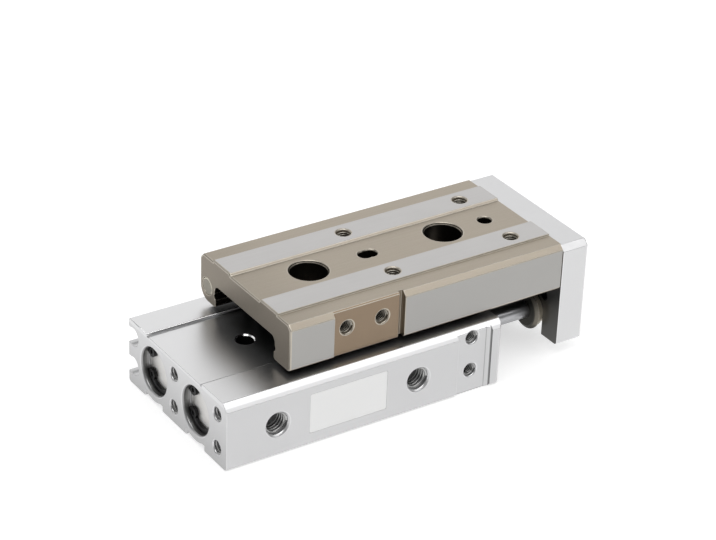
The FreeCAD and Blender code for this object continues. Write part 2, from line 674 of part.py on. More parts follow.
def make_head_cap(y):
    """A flat plug with a flange in the rear seat and a grooved spigot in the bore."""
    flange = round_x(REAR_RING_FACE, REAR_SEAT_FLOOR, y, BORE_HEIGHT, REAR_SEAT_RADIUS - SEATED_CLEARANCE)
    spigot_radius = BORE_RADIUS - RUNNING_CLEARANCE
    spigot = round_x(REAR_SEAT_FLOOR, REAR_SEAT_FLOOR + PLUG_SPIGOT, y, BORE_HEIGHT, spigot_radius)
    groove = oring_groove(REAR_SEAT_FLOOR + PLUG_ORING_FROM_FLANGE, y, spigot_radius, BORE_RADIUS)
    return flange.fuse(spigot).cut(groove)


def make_head_cap_oring(y):
    return o_ring(REAR_SEAT_FLOOR + PLUG_ORING_FROM_FLANGE, y, BORE_HEIGHT, BORE_RADIUS - ORING_RADIUS)


def snap_ring(x_start, y, outer, width, turn):
    """A ring that is open at one side, with an ear and a plier hole at each end of the opening.

    The opening points down, and turns from there towards the far side by the angle in degrees.
    """
    x_end = x_start + RING_THICKNESS
    ring = tube_x(x_start, x_end, y, BORE_HEIGHT, outer, outer - width)
    half = math.radians(RING_GAP_ANGLE / 2)
    reach = outer + OUTSIDE
    centre = FreeCAD.Vector(x_start, y, BORE_HEIGHT)
    sides = [FreeCAD.Vector(0, side * math.sin(half), -math.cos(half)) * reach for side in (-1, 1)]
    wedge = Part.Face(Part.makePolygon([centre, centre + sides[0], centre + sides[1], centre]))
    ring = ring.cut(wedge.extrude(ALONG_X * RING_THICKNESS))
    ear_circle = outer - width
    for side in (-1, 1):
        ear_angle = half + math.asin(RING_EAR_RADIUS / ear_circle)
        ear_y = y + side * ear_circle * math.sin(ear_angle)
        ear_z = BORE_HEIGHT - ear_circle * math.cos(ear_angle)
        ear = round_x(x_start, x_end, ear_y, ear_z, RING_EAR_RADIUS)
        ring = ring.fuse(ear.common(round_x(x_start, x_end, y, BORE_HEIGHT, outer)))
        ring = ring.cut(round_x(x_start - OUTSIDE, x_end + OUTSIDE, ear_y, ear_z, RING_EAR_HOLE))
    ring = ring.removeSplitter()
    ring.rotate(centre, ALONG_X, turn)
    return ring


def make_snap_ring(y):
    outer = REAR_SEAT_RADIUS + RING_GROOVE_DEPTH - RUNNING_CLEARANCE
    return snap_ring(REAR_RING_FACE - RING_THICKNESS, y, outer, REAR_RING_WIDTH, REAR_RING_TURN)


def make_rod_cover_ring(y):
    outer = FRONT_SEAT_RADIUS + RING_GROOVE_DEPTH - RUNNING_CLEARANCE
    return snap_ring(FRONT_RING_FACE, y, outer, FRONT_RING_WIDTH, FRONT_RING_TURN)


def make_head_bumper(y):
    start = REAR_SEAT_FLOOR + PLUG_SPIGOT
    return round_x(start, start + BUMPER_THICKNESS, y, BORE_HEIGHT, BUMPER_RADIUS)


def make_rod_bumper(y):
    return tube_x(ROD_BUMPER_FACE, FRONT_SEAT_FLOOR, y, BORE_HEIGHT, BUMPER_RADIUS, ROD_BUMPER_HOLE)


def make_rod_cover(y):
    """A rod guide with an O-ring groove round it and a recess for the rod seal in its front end."""
    radius = FRONT_SEAT_RADIUS - RUNNING_CLEARANCE
    cover = tube_x(FRONT_SEAT_FLOOR, FRONT_RING_FACE, y, BORE_HEIGHT, radius, ROD_RADIUS + RUNNING_CLEARANCE)
    groove_x = FRONT_SEAT_FLOOR + COVER_ORING_FROM_INNER_END
    cover = cover.cut(oring_groove(groove_x, y, radius, FRONT_SEAT_RADIUS))
    seal_start = FRONT_RING_FACE - ROD_SEAL_FRONT_RECESS - ROD_SEAL_LENGTH
    return cover.cut(round_x(seal_start, FRONT_RING_FACE + OUTSIDE, y, BORE_HEIGHT, ROD_SEAL_RADIUS))


def make_rod_cover_oring(y):
    x = FRONT_SEAT_FLOOR + COVER_ORING_FROM_INNER_END
    return o_ring(x, y, BORE_HEIGHT, FRONT_SEAT_RADIUS - ORING_RADIUS)


def make_rod_seal(y):
    end = FRONT_RING_FACE - ROD_SEAL_FRONT_RECESS
    return tube_x(end - ROD_SEAL_LENGTH, end, y, BORE_HEIGHT, ROD_SEAL_RADIUS, ROD_RADIUS + RUNNING_CLEARANCE)


def make_piston(y):
    """A piston with a tail and a nose that meet the cushions, and grooves for its seal and its magnet."""
    radius = BORE_RADIUS - RUNNING_CLEARANCE
    piston = round_x(PISTON_REAR, PISTON_FRONT, y, BORE_HEIGHT, radius)
    piston = piston.fuse(round_x(PISTON_TAIL_END, PISTON_REAR, y, BORE_HEIGHT, PISTON_TAIL_RADIUS))
    piston = piston.fuse(round_x(PISTON_FRONT, PISTON_NOSE_END, y, BORE_HEIGHT, PISTON_NOSE_RADIUS))
    piston = piston.cut(piston_seal_ring(y, radius + OUTSIDE))
    piston = piston.cut(magnet_ring(y, radius + OUTSIDE))
    return piston.cut(round_x(PISTON_FRONT - ROD_IN_PISTON, PISTON_NOSE_END + OUTSIDE, y, BORE_HEIGHT,
                              ROD_RADIUS))


def piston_seal_ring(y, outer):
    inner = BORE_RADIUS - RUNNING_CLEARANCE - PISTON_SEAL_HEIGHT
    end = PISTON_FRONT - PISTON_SEAL_FROM_FRONT
    return tube_x(end - PISTON_SEAL_WIDTH, end, y, BORE_HEIGHT, outer, inner)


def magnet_ring(y, outer):
    inner = BORE_RADIUS - RUNNING_CLEARANCE - MAGNET_SET_IN - MAGNET_HEIGHT
    end = PISTON_FRONT - MAGNET_FROM_FRONT
    return tube_x(end - MAGNET_WIDTH, end, y, BORE_HEIGHT, outer, inner)


def make_piston_seal(y):
    return piston_seal_ring(y, BORE_RADIUS - RUNNING_CLEARANCE / 2)


def make_piston_magnet(y):
    return magnet_ring(y, BORE_RADIUS - RUNNING_CLEARANCE - MAGNET_SET_IN)


def make_piston_rod(y):
    start = PISTON_FRONT - ROD_IN_PISTON
    rod = round_x(start, ROD_END, y, BORE_HEIGHT, ROD_RADIUS)
    return rod.cut(round_x(ROD_END - ROD_SCREW_BITE, ROD_END + OUTSIDE, y, BORE_HEIGHT, ROD_SCREW_RADIUS))


def make_floating_bush(y):
    """A round flange, a shoulder that bears on the plate, and a neck that stands in the slot of the plate."""
    flange = round_x(BUSH_REAR, BUSH_SHOULDER_REAR, y, BORE_HEIGHT, BUSH_FLANGE_RADIUS)
    flange = flange.makeChamfer(BUSH_EDGE, [edge for edge in flange.Edges if edge.isClosed()])
    shoulder = round_x(BUSH_SHOULDER_REAR, PLATE_REAR, y, BORE_HEIGHT, BUSH_SHOULDER_RADIUS)
    neck = round_x(PLATE_REAR, BUSH_NECK_END, y, BORE_HEIGHT, BUSH_NECK_RADIUS)
    bush = flange.fuse(shoulder).fuse(neck)
    bush = bush.cut(round_x(BUSH_REAR - OUTSIDE, ROD_END, y, BORE_HEIGHT, ROD_RADIUS))
    return bush.cut(round_x(ROD_END, BUSH_NECK_END + OUTSIDE, y, BORE_HEIGHT, ROD_SCREW_RADIUS))


def make_rod_end_screws():
    length = BUSH_NECK_END - ROD_END + ROD_SCREW_BITE
    return Part.Compound([
        socket_screw(FreeCAD.Vector(BUSH_NECK_END, y, BORE_HEIGHT), -ALONG_X, ROD_SCREW_RADIUS, length,
                     ROD_SCREW_HEAD_RADIUS, ROD_SCREW_HEAD)
        for y in BORES.values()
    ])


def table_section():
    """The table's section: two legs with raceways inside, a roof, and ground strips on top."""
    centre = GUIDE_SHIFT
    band = TABLE_TOP - BAND_DEPTH
    z_lip = math.sqrt(RACEWAY_RADIUS ** 2 - (BALL_OFFSET - CHANNEL_LIP) ** 2)
    z_wall = math.sqrt(RACEWAY_RADIUS ** 2 - (CHANNEL_HALF_WIDTH - BALL_OFFSET) ** 2)
    corner = CHANNEL_FILLET * (1 - math.sqrt(0.5))
    outline = Outline(centre - TABLE_HALF_WIDTH + LEG_EDGE, TABLE_BOTTOM)
    # Inside of the near leg, the ceiling, and the inside of the far leg
    outline.line(centre - CHANNEL_LIP - LEG_EDGE, TABLE_BOTTOM)
    outline.line(centre - CHANNEL_LIP, TABLE_BOTTOM + LEG_EDGE)
    outline.line(centre - CHANNEL_LIP, BALL_HEIGHT - z_lip)
    outline.arc((centre - BALL_OFFSET - RACEWAY_RADIUS, BALL_HEIGHT),
                (centre - CHANNEL_HALF_WIDTH, BALL_HEIGHT + z_wall))
    outline.line(centre - CHANNEL_HALF_WIDTH, CHANNEL_TOP - CHANNEL_FILLET)
    outline.arc((centre - CHANNEL_HALF_WIDTH + corner, CHANNEL_TOP - corner),
                (centre - CHANNEL_HALF_WIDTH + CHANNEL_FILLET, CHANNEL_TOP))
    outline.line(centre + CHANNEL_HALF_WIDTH - CHANNEL_FILLET, CHANNEL_TOP)
    outline.arc((centre + CHANNEL_HALF_WIDTH - corner, CHANNEL_TOP - corner),
                (centre + CHANNEL_HALF_WIDTH, CHANNEL_TOP - CHANNEL_FILLET))
    outline.line(centre + CHANNEL_HALF_WIDTH, BALL_HEIGHT + z_wall)
    outline.arc((centre + BALL_OFFSET + RACEWAY_RADIUS, BALL_HEIGHT),
                (centre + CHANNEL_LIP, BALL_HEIGHT - z_lip))
    outline.line(centre + CHANNEL_LIP, TABLE_BOTTOM + LEG_EDGE)
    outline.line(centre + CHANNEL_LIP + LEG_EDGE, TABLE_BOTTOM)
    # Outside of the far leg, whose lower corner is round
    far = centre + TABLE_HALF_WIDTH
    round_middle = FAR_LEG_ROUND * (1 - math.sqrt(0.5))
    outline.line(far - FAR_LEG_ROUND, TABLE_BOTTOM)
    outline.arc((far - round_middle, TABLE_BOTTOM + round_middle), (far, TABLE_BOTTOM + FAR_LEG_ROUND))
    outline.line(far, band - TABLE_CHAMFER)
    outline.line(far - TABLE_CHAMFER, band)
    # Top: outer bands, raised strips and the lower middle
    outline.line(centre + STRIP_OUTER, band)
    outline.line(centre + STRIP_OUTER, TABLE_TOP)
    outline.line(centre + STRIP_INNER + STRIP_BEVEL, TABLE_TOP)
    outline.line(centre + STRIP_INNER, TABLE_TOP - CENTRE_DEPTH)
    outline.line(centre - STRIP_INNER, TABLE_TOP - CENTRE_DEPTH)
    outline.line(centre - STRIP_INNER - STRIP_BEVEL, TABLE_TOP)
    outline.line(centre - STRIP_OUTER, TABLE_TOP)
    outline.line(centre - STRIP_OUTER, band)
    near = centre - TABLE_HALF_WIDTH
    outline.line(near + TABLE_CHAMFER, band)
    outline.line(near, band - TABLE_CHAMFER)
    outline.line(near, TABLE_BOTTOM + LEG_EDGE)
    return outline


def table_top_cuts():
    """Tapped holes, openings for the body's screws, and the dowel hole and slot."""
    cuts = []
    for x in TABLE_TAP_XS:
        for side in (-1, 1):
            mouth = FreeCAD.Vector(x, GUIDE_SHIFT + side * TABLE_TAP_SPACING_Y / 2, TABLE_TOP)
            cuts.append(hole(mouth, -ALONG_Z, TAP_RADIUS, TABLE_TOP - CHANNEL_TOP + OUTSIDE, TAP_MOUTH))
    floor = TABLE_TOP - CENTRE_DEPTH
    for x in OPENING_XS:
        mouth = FreeCAD.Vector(x, GUIDE_SHIFT, floor)
        cuts.append(hole(mouth, -ALONG_Z, OPENING_RADIUS, floor - CHANNEL_TOP + OUTSIDE, OPENING_EDGE))
    dowel_mouth = FreeCAD.Vector(TABLE_TAP_XS[1], GUIDE_SHIFT, floor)
    cuts.append(hole(dowel_mouth, -ALONG_Z, DOWEL_RADIUS, DOWEL_DEPTH, TAP_MOUTH))
    half_run = DOWEL_SLOT_LENGTH / 2 - DOWEL_RADIUS
    ends = [FreeCAD.Vector(TABLE_TAP_XS[0] + way * half_run, GUIDE_SHIFT, floor) for way in (-1, 1)]
    cuts += [hole(end, -ALONG_Z, DOWEL_RADIUS, DOWEL_DEPTH, TAP_MOUTH) for end in ends]
    cuts.append(box((ends[0].x, ends[1].x), (GUIDE_SHIFT - DOWEL_RADIUS, GUIDE_SHIFT + DOWEL_RADIUS),
                    (floor - DOWEL_DEPTH, floor + OUTSIDE)))
    return cuts


def table_side_cuts():
    """The milled pad with its relief slit and two tapped holes, on the near side."""
    near = GUIDE_SHIFT - TABLE_HALF_WIDTH
    start = TABLE_REAR + TABLE_PAD_FROM_REAR
    end = start + TABLE_PAD_LENGTH
    height = (TABLE_BOTTOM - OUTSIDE, TABLE_TOP + OUTSIDE)
    cuts = [
        box((start, end), (near - OUTSIDE, near + TABLE_PAD_DEPTH), height),
        box((end - SLIT_WIDTH, end), (near - OUTSIDE, near + SLIT_DEPTH), height),
    ]
    for i in range(2):
        x = TABLE_REAR + TABLE_SIDE_TAP_FROM_REAR + i * TABLE_SIDE_TAP_SPACING
        mouth = FreeCAD.Vector(x, near + TABLE_PAD_DEPTH, TABLE_SIDE_TAP_HEIGHT)
        cuts.append(hole(mouth, ALONG_Y, TAP_RADIUS, TABLE_SIDE_TAP_DEPTH, TAP_MOUTH))
    return cuts


def plate_screw_places():
    offsets = (-PLATE_SCREW_OUTER, -PLATE_SCREW_INNER, PLATE_SCREW_INNER, PLATE_SCREW_OUTER)
    return [GUIDE_SHIFT + offset for offset in offsets]


def outer_rear_edges(table):
    """The edges of the rear end face along the top and down the outer sides of the legs."""
    middle_of_leg = (CHANNEL_HALF_WIDTH + TABLE_HALF_WIDTH) / 2
    edges = []
    for edge in table.Edges:
        centre = edge.CenterOfMass
        on_rear_face = abs(edge.BoundBox.XMax - TABLE_REAR) < TABLE_END_EDGE
        on_top = centre.z > CHANNEL_TOP + TABLE_END_EDGE
        on_side = abs(centre.y - GUIDE_SHIFT) > middle_of_leg
        if on_rear_face and (on_top or on_side):
            edges.append(edge)
    return edges


def make_table():
    table = table_section().extrude(TABLE_REAR, PLATE_REAR)
    table = table.makeChamfer(TABLE_END_EDGE, outer_rear_edges(table))
    table = cut_all(table, table_top_cuts() + table_side_cuts())
    for y in plate_screw_places():
        table = table.cut(round_x(PLATE_REAR - PLATE_SCREW_BITE, PLATE_REAR + OUTSIDE, y, PLATE_SCREW_HEIGHT,
                                  PLATE_SCREW_RADIUS))
    plug_y = GUIDE_SHIFT + LEG_PLUG_OFFSET
    return table.cut(round_x(TABLE_REAR - OUTSIDE, TABLE_REAR + LEG_PLUG_DEPTH, plug_y, LEG_PLUG_HEIGHT,
                             LEG_PLUG_RADIUS))


def make_table_plug():
    y = GUIDE_SHIFT + LEG_PLUG_OFFSET
    return round_x(TABLE_REAR, TABLE_REAR + LEG_PLUG_DEPTH, y, LEG_PLUG_HEIGHT, LEG_PLUG_RADIUS - LEG_PLUG_SEAM)


def make_end_plate():
    """The plate across the front, with an open slot under each bush and counterbored screw holes."""
    near = GUIDE_SHIFT - PLATE_HALF_WIDTH
    far = GUIDE_SHIFT + PLATE_HALF_WIDTH
    outline = Outline(near + PLATE_LOW_CHAMFER, PLATE_BOTTOM)
    for y in BORES.values():
        outline.line(y - SLOT_HALF_WIDTH, PLATE_BOTTOM)
        outline.line(y - SLOT_HALF_WIDTH, BORE_HEIGHT)
        outline.arc((y, BORE_HEIGHT + SLOT_HALF_WIDTH), (y + SLOT_HALF_WIDTH, BORE_HEIGHT))
        outline.line(y + SLOT_HALF_WIDTH, PLATE_BOTTOM)
    outline.line(far - PLATE_LOW_CHAMFER, PLATE_BOTTOM)
    outline.line(far, PLATE_BOTTOM + PLATE_LOW_CHAMFER)
    outline.line(far, PLATE_TOP - PLATE_CHAMFER)
    outline.line(far - PLATE_CHAMFER, PLATE_TOP)
    outline.line(near + PLATE_CHAMFER, PLATE_TOP)
    outline.line(near, PLATE_TOP - PLATE_CHAMFER)
    outline.line(near, PLATE_BOTTOM + PLATE_LOW_CHAMFER)
    plate = outline.extrude(PLATE_REAR, PLATE_FRONT)
    front_edges = [edge for edge in plate.Edges if abs(edge.BoundBox.XMin - PLATE_FRONT) < SMALL_EDGE]
    plate = plate.makeChamfer(SMALL_EDGE, front_edges)
    head_room = PLATE_SCREW_HEAD + PLATE_SCREW_SUNK
    for y in plate_screw_places():
        plate = plate.cut(round_x(PLATE_REAR - OUTSIDE, PLATE_FRONT, y, PLATE_SCREW_HEIGHT,
                                  PLATE_SCREW_RADIUS + HOLE_CLEARANCE))
        plate = plate.cut(round_x(PLATE_FRONT - head_room, PLATE_FRONT + OUTSIDE, y, PLATE_SCREW_HEIGHT,
                                  PLATE_SCREW_HEAD_RADIUS + HEAD_CLEARANCE))
    for side in (-1, 1):
        y = GUIDE_SHIFT + side * PLATE_TAP_OFFSET
        for z in (PLATE_TAP_LOW_HEIGHT, PLATE_TAP_LOW_HEIGHT + PLATE_TAP_SPACING_Z):
            mouth = FreeCAD.Vector(PLATE_FRONT, y, z)
            plate = plate.cut(hole(mouth, -ALONG_X, TAP_RADIUS, PLATE_TAP_DEPTH, TAP_MOUTH))
        pin_y = GUIDE_SHIFT + side * PLATE_PIN_OFFSET
        plate = plate.cut(round_x(PLATE_REAR - OUTSIDE, PLATE_REAR + PLATE_PIN_DEPTH, pin_y, PLATE_PIN_HEIGHT,
                                  PLATE_PIN_RADIUS))
    return plate


def make_end_plate_screws():
    seat_x = PLATE_FRONT - PLATE_SCREW_SUNK - PLATE_SCREW_HEAD
    length = seat_x - PLATE_REAR + PLATE_SCREW_BITE
    return Part.Compound([
        socket_screw(FreeCAD.Vector(seat_x, y, PLATE_SCREW_HEIGHT), -ALONG_X, PLATE_SCREW_RADIUS, length,
                     PLATE_SCREW_HEAD_RADIUS, PLATE_SCREW_HEAD)
        for y in plate_screw_places()
    ])


def all_nodes():
    nodes = {
        "body": make_body(),
        "guide_block": make_guide_block(),
        "guide_block_screws": make_block_screws(),
        "balls_near": make_balls(-1),
        "balls_far": make_balls(1),
        "return_cover_rear": make_cover("rear"),
        "return_cover_front": make_cover("front"),
        "return_cover_screws": make_cover_screws(),
        "scraper_rear": make_scraper("rear"),
        "scraper_front": make_scraper("front"),
        "table": make_table(),
        "table_plug": make_table_plug(),
        "end_plate": make_end_plate(),
        "end_plate_screws": make_end_plate_screws(),
        "rod_end_screws": make_rod_end_screws(),
    }
    for side, y in BORES.items():
        nodes["head_cap_" + side] = make_head_cap(y)
        nodes["head_cap_oring_" + side] = make_head_cap_oring(y)
        nodes["snap_ring_" + side] = make_snap_ring(y)
        nodes["head_bumper_" + side] = make_head_bumper(y)
        nodes["rod_cover_" + side] = make_rod_cover(y)
        nodes["rod_cover_oring_" + side] = make_rod_cover_oring(y)
        nodes["rod_cover_ring_" + side] = make_rod_cover_ring(y)
        nodes["rod_seal_" + side] = make_rod_seal(y)
        nodes["rod_bumper_" + side] = make_rod_bumper(y)
        nodes["piston_rod_" + side] = make_piston_rod(y)
        nodes["piston_" + side] = make_piston(y)
        nodes["piston_seal_" + side] = make_piston_seal(y)
        nodes["piston_magnet_" + side] = make_piston_magnet(y)
        nodes["floating_bush_" + side] = make_floating_bush(y)
    return nodes


os.makedirs("parts", exist_ok=True)
for node_name, node_shape in all_nodes().items():
    node_shape.exportStep("parts/" + node_name + ".step")
    print(node_name, len(node_shape.Solids), round(node_shape.Volume, 2), node_shape.isValid())
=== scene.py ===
import logging
import math
from collections.abc import Callable, Sequence
from dataclasses import dataclass, replace
from enum import Enum

import bmesh
import bpy
from bmesh.types import BMEdge, BMesh, BMFace
from bpy.types import ID, Material, Mesh, NodeSocket, NodeTree, Object
from mathutils import Matrix, Vector


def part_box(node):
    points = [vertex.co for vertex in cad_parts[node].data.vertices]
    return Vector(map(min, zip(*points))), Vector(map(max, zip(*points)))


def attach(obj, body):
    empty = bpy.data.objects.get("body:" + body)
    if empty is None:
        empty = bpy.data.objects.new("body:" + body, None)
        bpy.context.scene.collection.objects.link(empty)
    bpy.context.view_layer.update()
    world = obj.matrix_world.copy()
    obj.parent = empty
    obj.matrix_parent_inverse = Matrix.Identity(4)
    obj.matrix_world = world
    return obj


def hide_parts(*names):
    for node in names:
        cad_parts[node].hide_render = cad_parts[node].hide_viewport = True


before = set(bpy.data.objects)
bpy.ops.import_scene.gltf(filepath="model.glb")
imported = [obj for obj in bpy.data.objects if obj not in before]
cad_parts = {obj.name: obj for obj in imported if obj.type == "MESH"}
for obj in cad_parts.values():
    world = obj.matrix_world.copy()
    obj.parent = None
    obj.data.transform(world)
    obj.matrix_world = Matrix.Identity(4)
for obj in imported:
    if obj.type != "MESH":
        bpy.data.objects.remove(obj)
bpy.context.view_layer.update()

# A pneumatic slide table dressed over its CAD frame.
# Sizes and places are millimetres in the frame of the CAD model; meshes are made in metres.

MM = 0.001
Colour = tuple[float, float, float]
Place = tuple[float, float, float]
Span = tuple[float, float]
Values = dict[str | int, object]
Weights = dict[BMEdge, float]
log = logging.getLogger("slide_table")


def extent(node: str) -> tuple[Place, Place]:
    """The low and the high corner of a CAD node's box at rest, in millimetres."""
    return tuple(tuple(round(value / MM, 3) for value in corner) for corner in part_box(node))


# Places that the pieces and their finishes are measured from.
(BODY_REAR, BODY_NEAR, _), (_, _, BODY_TOP) = extent("body")
(TABLE_REAR, TABLE_NEAR, TABLE_FOOT), (_, TABLE_FAR, TABLE_TOP) = extent("table")
(GUIDE_REAR, _, SEAT), (GUIDE_FRONT, _, _) = extent("guide_block")
(PLATE_REAR, _, _), (PLATE_FRONT, _, _) = extent("end_plate")
(BUSH_REAR, _, _), _ = extent("floating_bush_far")
(_, CAP_NEAR, CAP_FOOT), (_, CAP_FAR, CAP_TOP) = extent("head_cap_far")
CENTRE = (TABLE_NEAR + TABLE_FAR) / 2
TABLE_HALF = TABLE_FAR - CENTRE
BORE_OFFSET = (CAP_NEAR + CAP_FAR) / 2 - CENTRE
BORE_HEIGHT = (CAP_FOOT + CAP_TOP) / 2
SEAT_HALF = 11.25
MOUNT_X = 16.8
PIN_OFFSET = 12.7
PIN_HEIGHT = 12.3


class Rides(Enum):
    """The CAD body that a piece moves with."""

    BASE = "base"
    SLIDE = "slide"


class Into(Enum):
    """The way that a hole or a screw goes in."""

    FORWARD = (1.0, 0.0, 0.0)
    BACKWARD = (-1.0, 0.0, 0.0)
    SIDEWAYS = (0.0, 1.0, 0.0)
    DOWN = (0.0, 0.0, -1.0)


class Lay(Enum):
    """The way that the tool marks of a finish run, as the stretch of a noise along X, Y and Z."""

    ALONG_X = (0.03, 1.0, 1.0)
    ROUND_X = (1.0, 0.05, 0.05)
    EVEN = (1.0, 1.0, 1.0)


class Wire:
    """A node's output that takes part in Python sums, each of which adds a Math node."""

    def __init__(self, tree: "Tree", socket: NodeSocket | None) -> None:
        """Keep the tree and the socket."""
        self.tree = tree
        self.socket = socket

    def __add__(self, other: "Wire | float") -> "Wire":
        """Add."""
        return self.tree.maths("ADD", self, other)

    __radd__ = __add__

    def __mul__(self, other: "Wire | float") -> "Wire":
        """Multiply."""
        return self.tree.maths("MULTIPLY", self, other)

    __rmul__ = __mul__

    def __sub__(self, other: "Wire | float") -> "Wire":
        """Take other away."""
        return self.tree.maths("SUBTRACT", self, other)

    def __rsub__(self, other: "Wire | float") -> "Wire":
        """Take this away from other."""
        return self.tree.maths("SUBTRACT", other, self)

    def __truediv__(self, other: "Wire | float") -> "Wire":
        """Divide by other."""
        return self.tree.maths("DIVIDE", self, other)

    def __rtruediv__(self, other: "Wire | float") -> "Wire":
        """Divide other by this."""
        return self.tree.maths("DIVIDE", other, self)

    def __abs__(self) -> "Wire":
        """Drop the sign."""
        return self.tree.maths("ABSOLUTE", self)

    def __or__(self, other: "Wire | float") -> "Wire":
        """Take the higher of two masks."""
        return self.tree.maths("MAXIMUM", self, other)


class Tree:
    """A node tree that is written as Python."""

    def __init__(self, nodes: NodeTree) -> None:
        """Keep the tree and empty it."""
        self.tree = nodes
        self.tree.nodes.clear()

    def feed(self, socket: NodeSocket, value: object) -> None:
        """Link a wire to a socket, or set the socket's own value.

        Args:
            socket: The input that gets the value.
            value: A Wire, a number, a tuple, a material or an object.
        """
        if isinstance(value, Wire):
            self.tree.links.new(value.socket, socket)
        elif socket.type == "RGBA" and len(value) == 3:
            socket.default_value = (*value, 1.0)
        else:
            socket.default_value = value

    def node(
        self, kind: str, settings: Values | None = None, inputs: Values | None = None, output: int | str = 0
    ) -> Wire:
        """Add one node.

        Args:
            kind: The node's type.
            settings: What is set on the node before its sockets.
            inputs: Values or wires by socket name or number.
            output: The output that is returned.

        Returns:
            The chosen output as a Wire.
        """
        made = self.tree.nodes.new(kind)
        for name, value in (settings or {}).items():
            setattr(made, name, value)
        for name, value in (inputs or {}).items():
            self.feed(made.inputs[name], value)
        return Wire(self, made.outputs[output] if made.outputs else None)

    def maths(self, operation: str, *values: "Wire | float") -> Wire:
        """Add a Math node on the values."""
        return self.node("ShaderNodeMath", {"operation": operation}, dict(enumerate(values)))


class ShaderTree(Tree):
    """A material's nodes, with the place on the piece in its object's coordinates."""

    def __init__(self, name: str) -> None:
        """Make the material and read the place.

        Args:
            name: The material's name.
        """
        self.material = bpy.data.materials.new(name)
        self.material.use_nodes = True
        super().__init__(self.material.node_tree)
        self.place = self.node("ShaderNodeTexCoord", output="Object")
        parts = [self.node("ShaderNodeSeparateXYZ", inputs={0: self.place}, output=i) for i in range(3)]
        self.x, self.y, self.z = parts

    def noise(self, size: float, lay: Lay = Lay.EVEN, detail: float = 2.0) -> Wire:
        """Noise around one half.

        Args:
            size: The width of its spots in millimetres.
            lay: The way that the spots are drawn out.
            detail: Finer layers on top.

        Returns:
            The noise's factor.
        """
        scale = [stretch / (size * MM) for stretch in lay.value]
        return self.node("ShaderNodeTexNoise", inputs={
            "Vector": self.node("ShaderNodeVectorMath", {"operation": "MULTIPLY"}, {0: self.place, 1: scale}),
            "Scale": 1.0,
            "Detail": detail,
        })

    def above(self, value: Wire, edge: float, blur: float = 0.05) -> Wire:
        """A mask that is 1 where a length in metres passes an edge in millimetres, give or take its blur."""
        ends = {"From Min": (edge - blur) * MM, "From Max": (edge + blur) * MM}
        return self.node("ShaderNodeMapRange", {"interpolation_type": "SMOOTHSTEP"}, {"Value": value, **ends})

    def below(self, value: Wire, edge: float, blur: float = 0.05) -> Wire:
        """A mask that is 1 where a length stays under an edge in millimetres."""
        return 1 - self.above(value, edge, blur)

    def between(self, value: Wire, low: float, high: float, blur: float = 0.05) -> Wire:
        """A mask that is 1 where a length lies between two edges in millimetres."""
        return self.above(value, low, blur) - self.above(value, high, blur)

    def beside(self) -> Wire:
        """How far a place lies beside the middle plane, on either side."""
        return abs(self.y - CENTRE * MM)

    def round(self, first: Wire, second: Wire, radius: float) -> Wire:
        """A mask that is 1 where two lengths square to each other lie within a radius in millimetres."""
        return self.below(self.maths("SQRT", first * first + second * second), radius)

    def mix(self, mask: Wire, first: "Wire | Colour", second: "Wire | Colour") -> Wire:
        """Go from the first colour to the second as the mask rises."""
        return self.node("ShaderNodeMix", {"data_type": "RGBA"}, {0: mask, 6: first, 7: second}, 2)

    def bump(self, height: Wire, depth: float) -> Wire:
        """Turn a height from 0 to 1 into a normal, where 1 stands for a depth in micrometres."""
        return self.node("ShaderNodeBump", inputs={"Distance": depth * MM * MM, "Height": height})

    def shade(self, inputs: Values) -> Material:
        """End the tree in a Principled shader.

        Args:
            inputs: Values or wires by socket name.

        Returns:
            The finished material.
        """
        surface = {"Surface": self.node("ShaderNodeBsdfPrincipled", inputs=inputs)}
        self.node("ShaderNodeOutputMaterial", inputs=surface)
        return self.material


